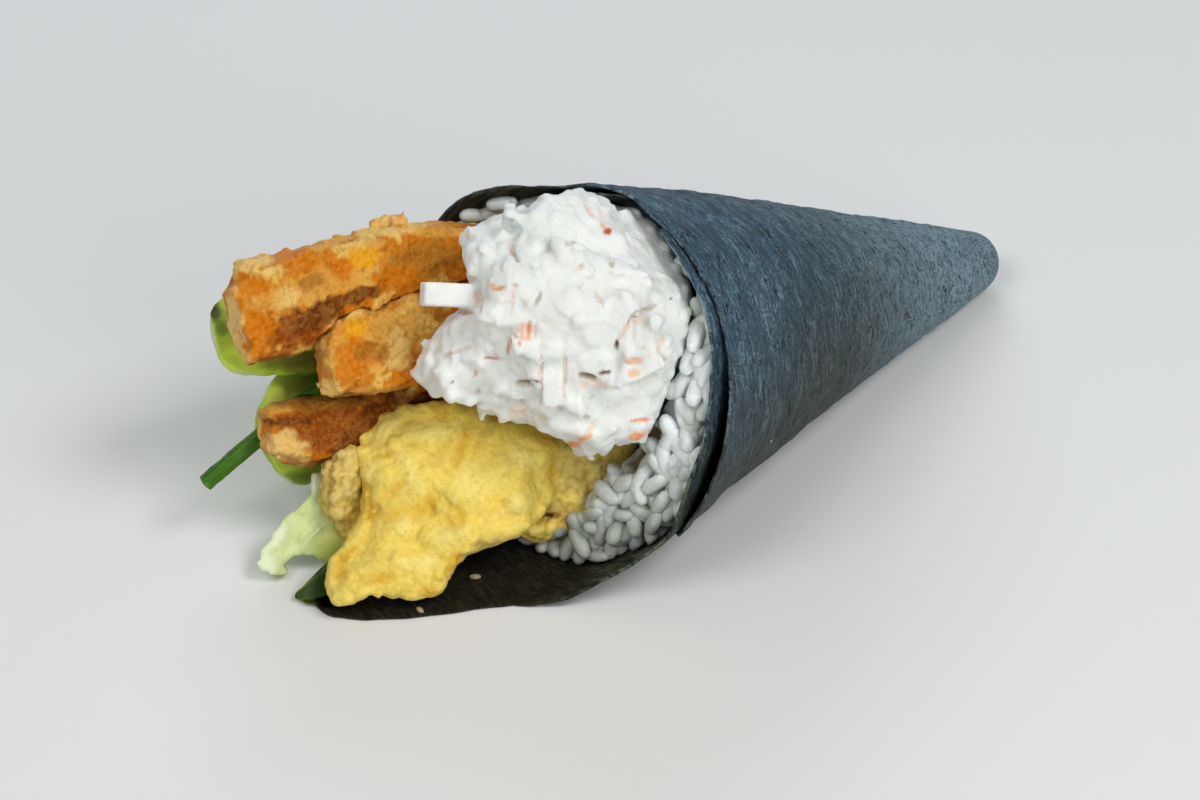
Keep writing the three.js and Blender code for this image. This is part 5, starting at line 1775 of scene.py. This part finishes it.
class HANDROLL_OT_stage(bpy.types.Operator):
    """Sets the floor, the lights and the camera"""

    bl_idname = "handroll.stage"
    bl_label = "Stage"

    def execute(self, context):
        look = settings("stage")
        scene = context.scene
        bm = bmesh.new()
        bmesh.ops.create_grid(bm, x_segments=1, y_segments=1, size=6)
        floor = object_from(bm, "stage_floor")
        paper = Finish("matt paper")
        tone = paper.mix(paper.noise(300, 2, 0.5), shade(look.floor, 0.985), shade(look.floor, 1.0))
        floor.data.materials.append(paper.close(Base_Color=tone, Roughness=0.9))
        floor.location.z = -0.0002

        world = bpy.data.worlds.new("studio")
        scene.world = world
        world.use_nodes = True
        sky = world.node_tree.nodes["Background"]
        sky.inputs["Color"].default_value = (0.92, 0.96, 1.0, 1)
        sky.inputs["Strength"].default_value = look.sky

        self.lamp("key", (-0.55, -0.05, 0.75), 0.45, look.key * 0.64, (1.0, 0.98, 0.95))
        self.lamp("front", (-0.14, -0.86, 0.46), 0.55, look.key * 0.62, (1.0, 0.99, 0.97))
        self.lamp("over", (0.14, -0.56, 0.82), 0.36, look.key * 0.92, (1.0, 1.0, 1.0))
        self.lamp("back", (0.45, 0.70, 0.50), 0.60, look.key * 0.75, (0.78, 0.90, 1.0))

        camera = bpy.data.objects.new("camera", bpy.data.cameras.new("camera"))
        scene.collection.objects.link(camera)
        camera.location = EYE
        camera.rotation_euler = Matrix((RIGHT, OVER, BACK)).transposed().to_euler()
        camera.data.lens = LENS
        camera.data.sensor_width = SENSOR
        camera.data.clip_start, camera.data.clip_end = 0.01, 20
        scene.camera = camera
        scene.view_settings.view_transform = "Standard"
        return {"FINISHED"}

    @staticmethod
    def lamp(name, at, size, power, colour):
        """Hangs a round lamp that shines on the roll."""
        lamp = bpy.data.objects.new(name + "_light", bpy.data.lights.new(name + "_light", "AREA"))
        bpy.context.scene.collection.objects.link(lamp)
        lamp.data.shape = "DISK"
        lamp.data.size = size
        lamp.data.energy = power
        lamp.data.color = colour
        lamp.location = at
        lamp.rotation_euler = (Vector(at) - Vector((0.0, 0.0, 0.03))).to_track_quat("Z", "Y").to_euler()


# ---- The add-on

class HANDROLL_PT_panel(bpy.types.Panel):
    """The hand roll's pieces and their settings"""

    bl_idname = "HANDROLL_PT_panel"
    bl_label = "Hand Roll"
    bl_space_type = "VIEW_3D"
    bl_region_type = "UI"
    bl_category = "Hand Roll"

    def draw(self, context):
        for group, operators in PANEL_ROWS:
            box = self.layout.box()
            for key in settings(group).__annotations__:
                box.prop(settings(group), key)
            for operator in operators:
                box.operator(operator)


PANEL_ROWS = (
    ("nori", ("handroll.nori", "handroll.crumbs")),
    ("rice", ("handroll.rice",)),
    ("crab", ("handroll.crab",)),
    ("fry", ("handroll.sticks",)),
    ("tempura", ("handroll.tempura",)),
    ("greens", ("handroll.greens",)),
    ("stage", ("handroll.stage",)),
)
GROUPS = {
    "nori": NoriSettings,
    "rice": RiceSettings,
    "crab": CrabSettings,
    "fry": FrySettings,
    "tempura": TempuraSettings,
    "greens": GreensSettings,
    "stage": StageSettings,
}
OPERATORS = (
    HANDROLL_OT_nori,
    HANDROLL_OT_rice,
    HANDROLL_OT_crab,
    HANDROLL_OT_sticks,
    HANDROLL_OT_tempura,
    HANDROLL_OT_greens,
    HANDROLL_OT_crumbs,
    HANDROLL_OT_stage,
)


def register():
    for name, group in GROUPS.items():
        bpy.utils.register_class(group)
        setattr(bpy.types.Scene, "hand_roll_" + name, PointerProperty(type=group))
    for cls in (*OPERATORS, HANDROLL_PT_panel):
        bpy.utils.register_class(cls)


def unregister():
    for cls in (HANDROLL_PT_panel, *reversed(OPERATORS)):
        bpy.utils.unregister_class(cls)
    for name, group in GROUPS.items():
        delattr(bpy.types.Scene, "hand_roll_" + name)
        bpy.utils.unregister_class(group)


def main():
    register()
    bpy.ops.handroll.nori()
    bpy.ops.handroll.rice()
    bpy.ops.handroll.crab()
    bpy.ops.handroll.sticks()
    bpy.ops.handroll.tempura()
    bpy.ops.handroll.greens()
    bpy.ops.handroll.crumbs()
    bpy.ops.handroll.stage()


if __name__ == "__main__":
    main()
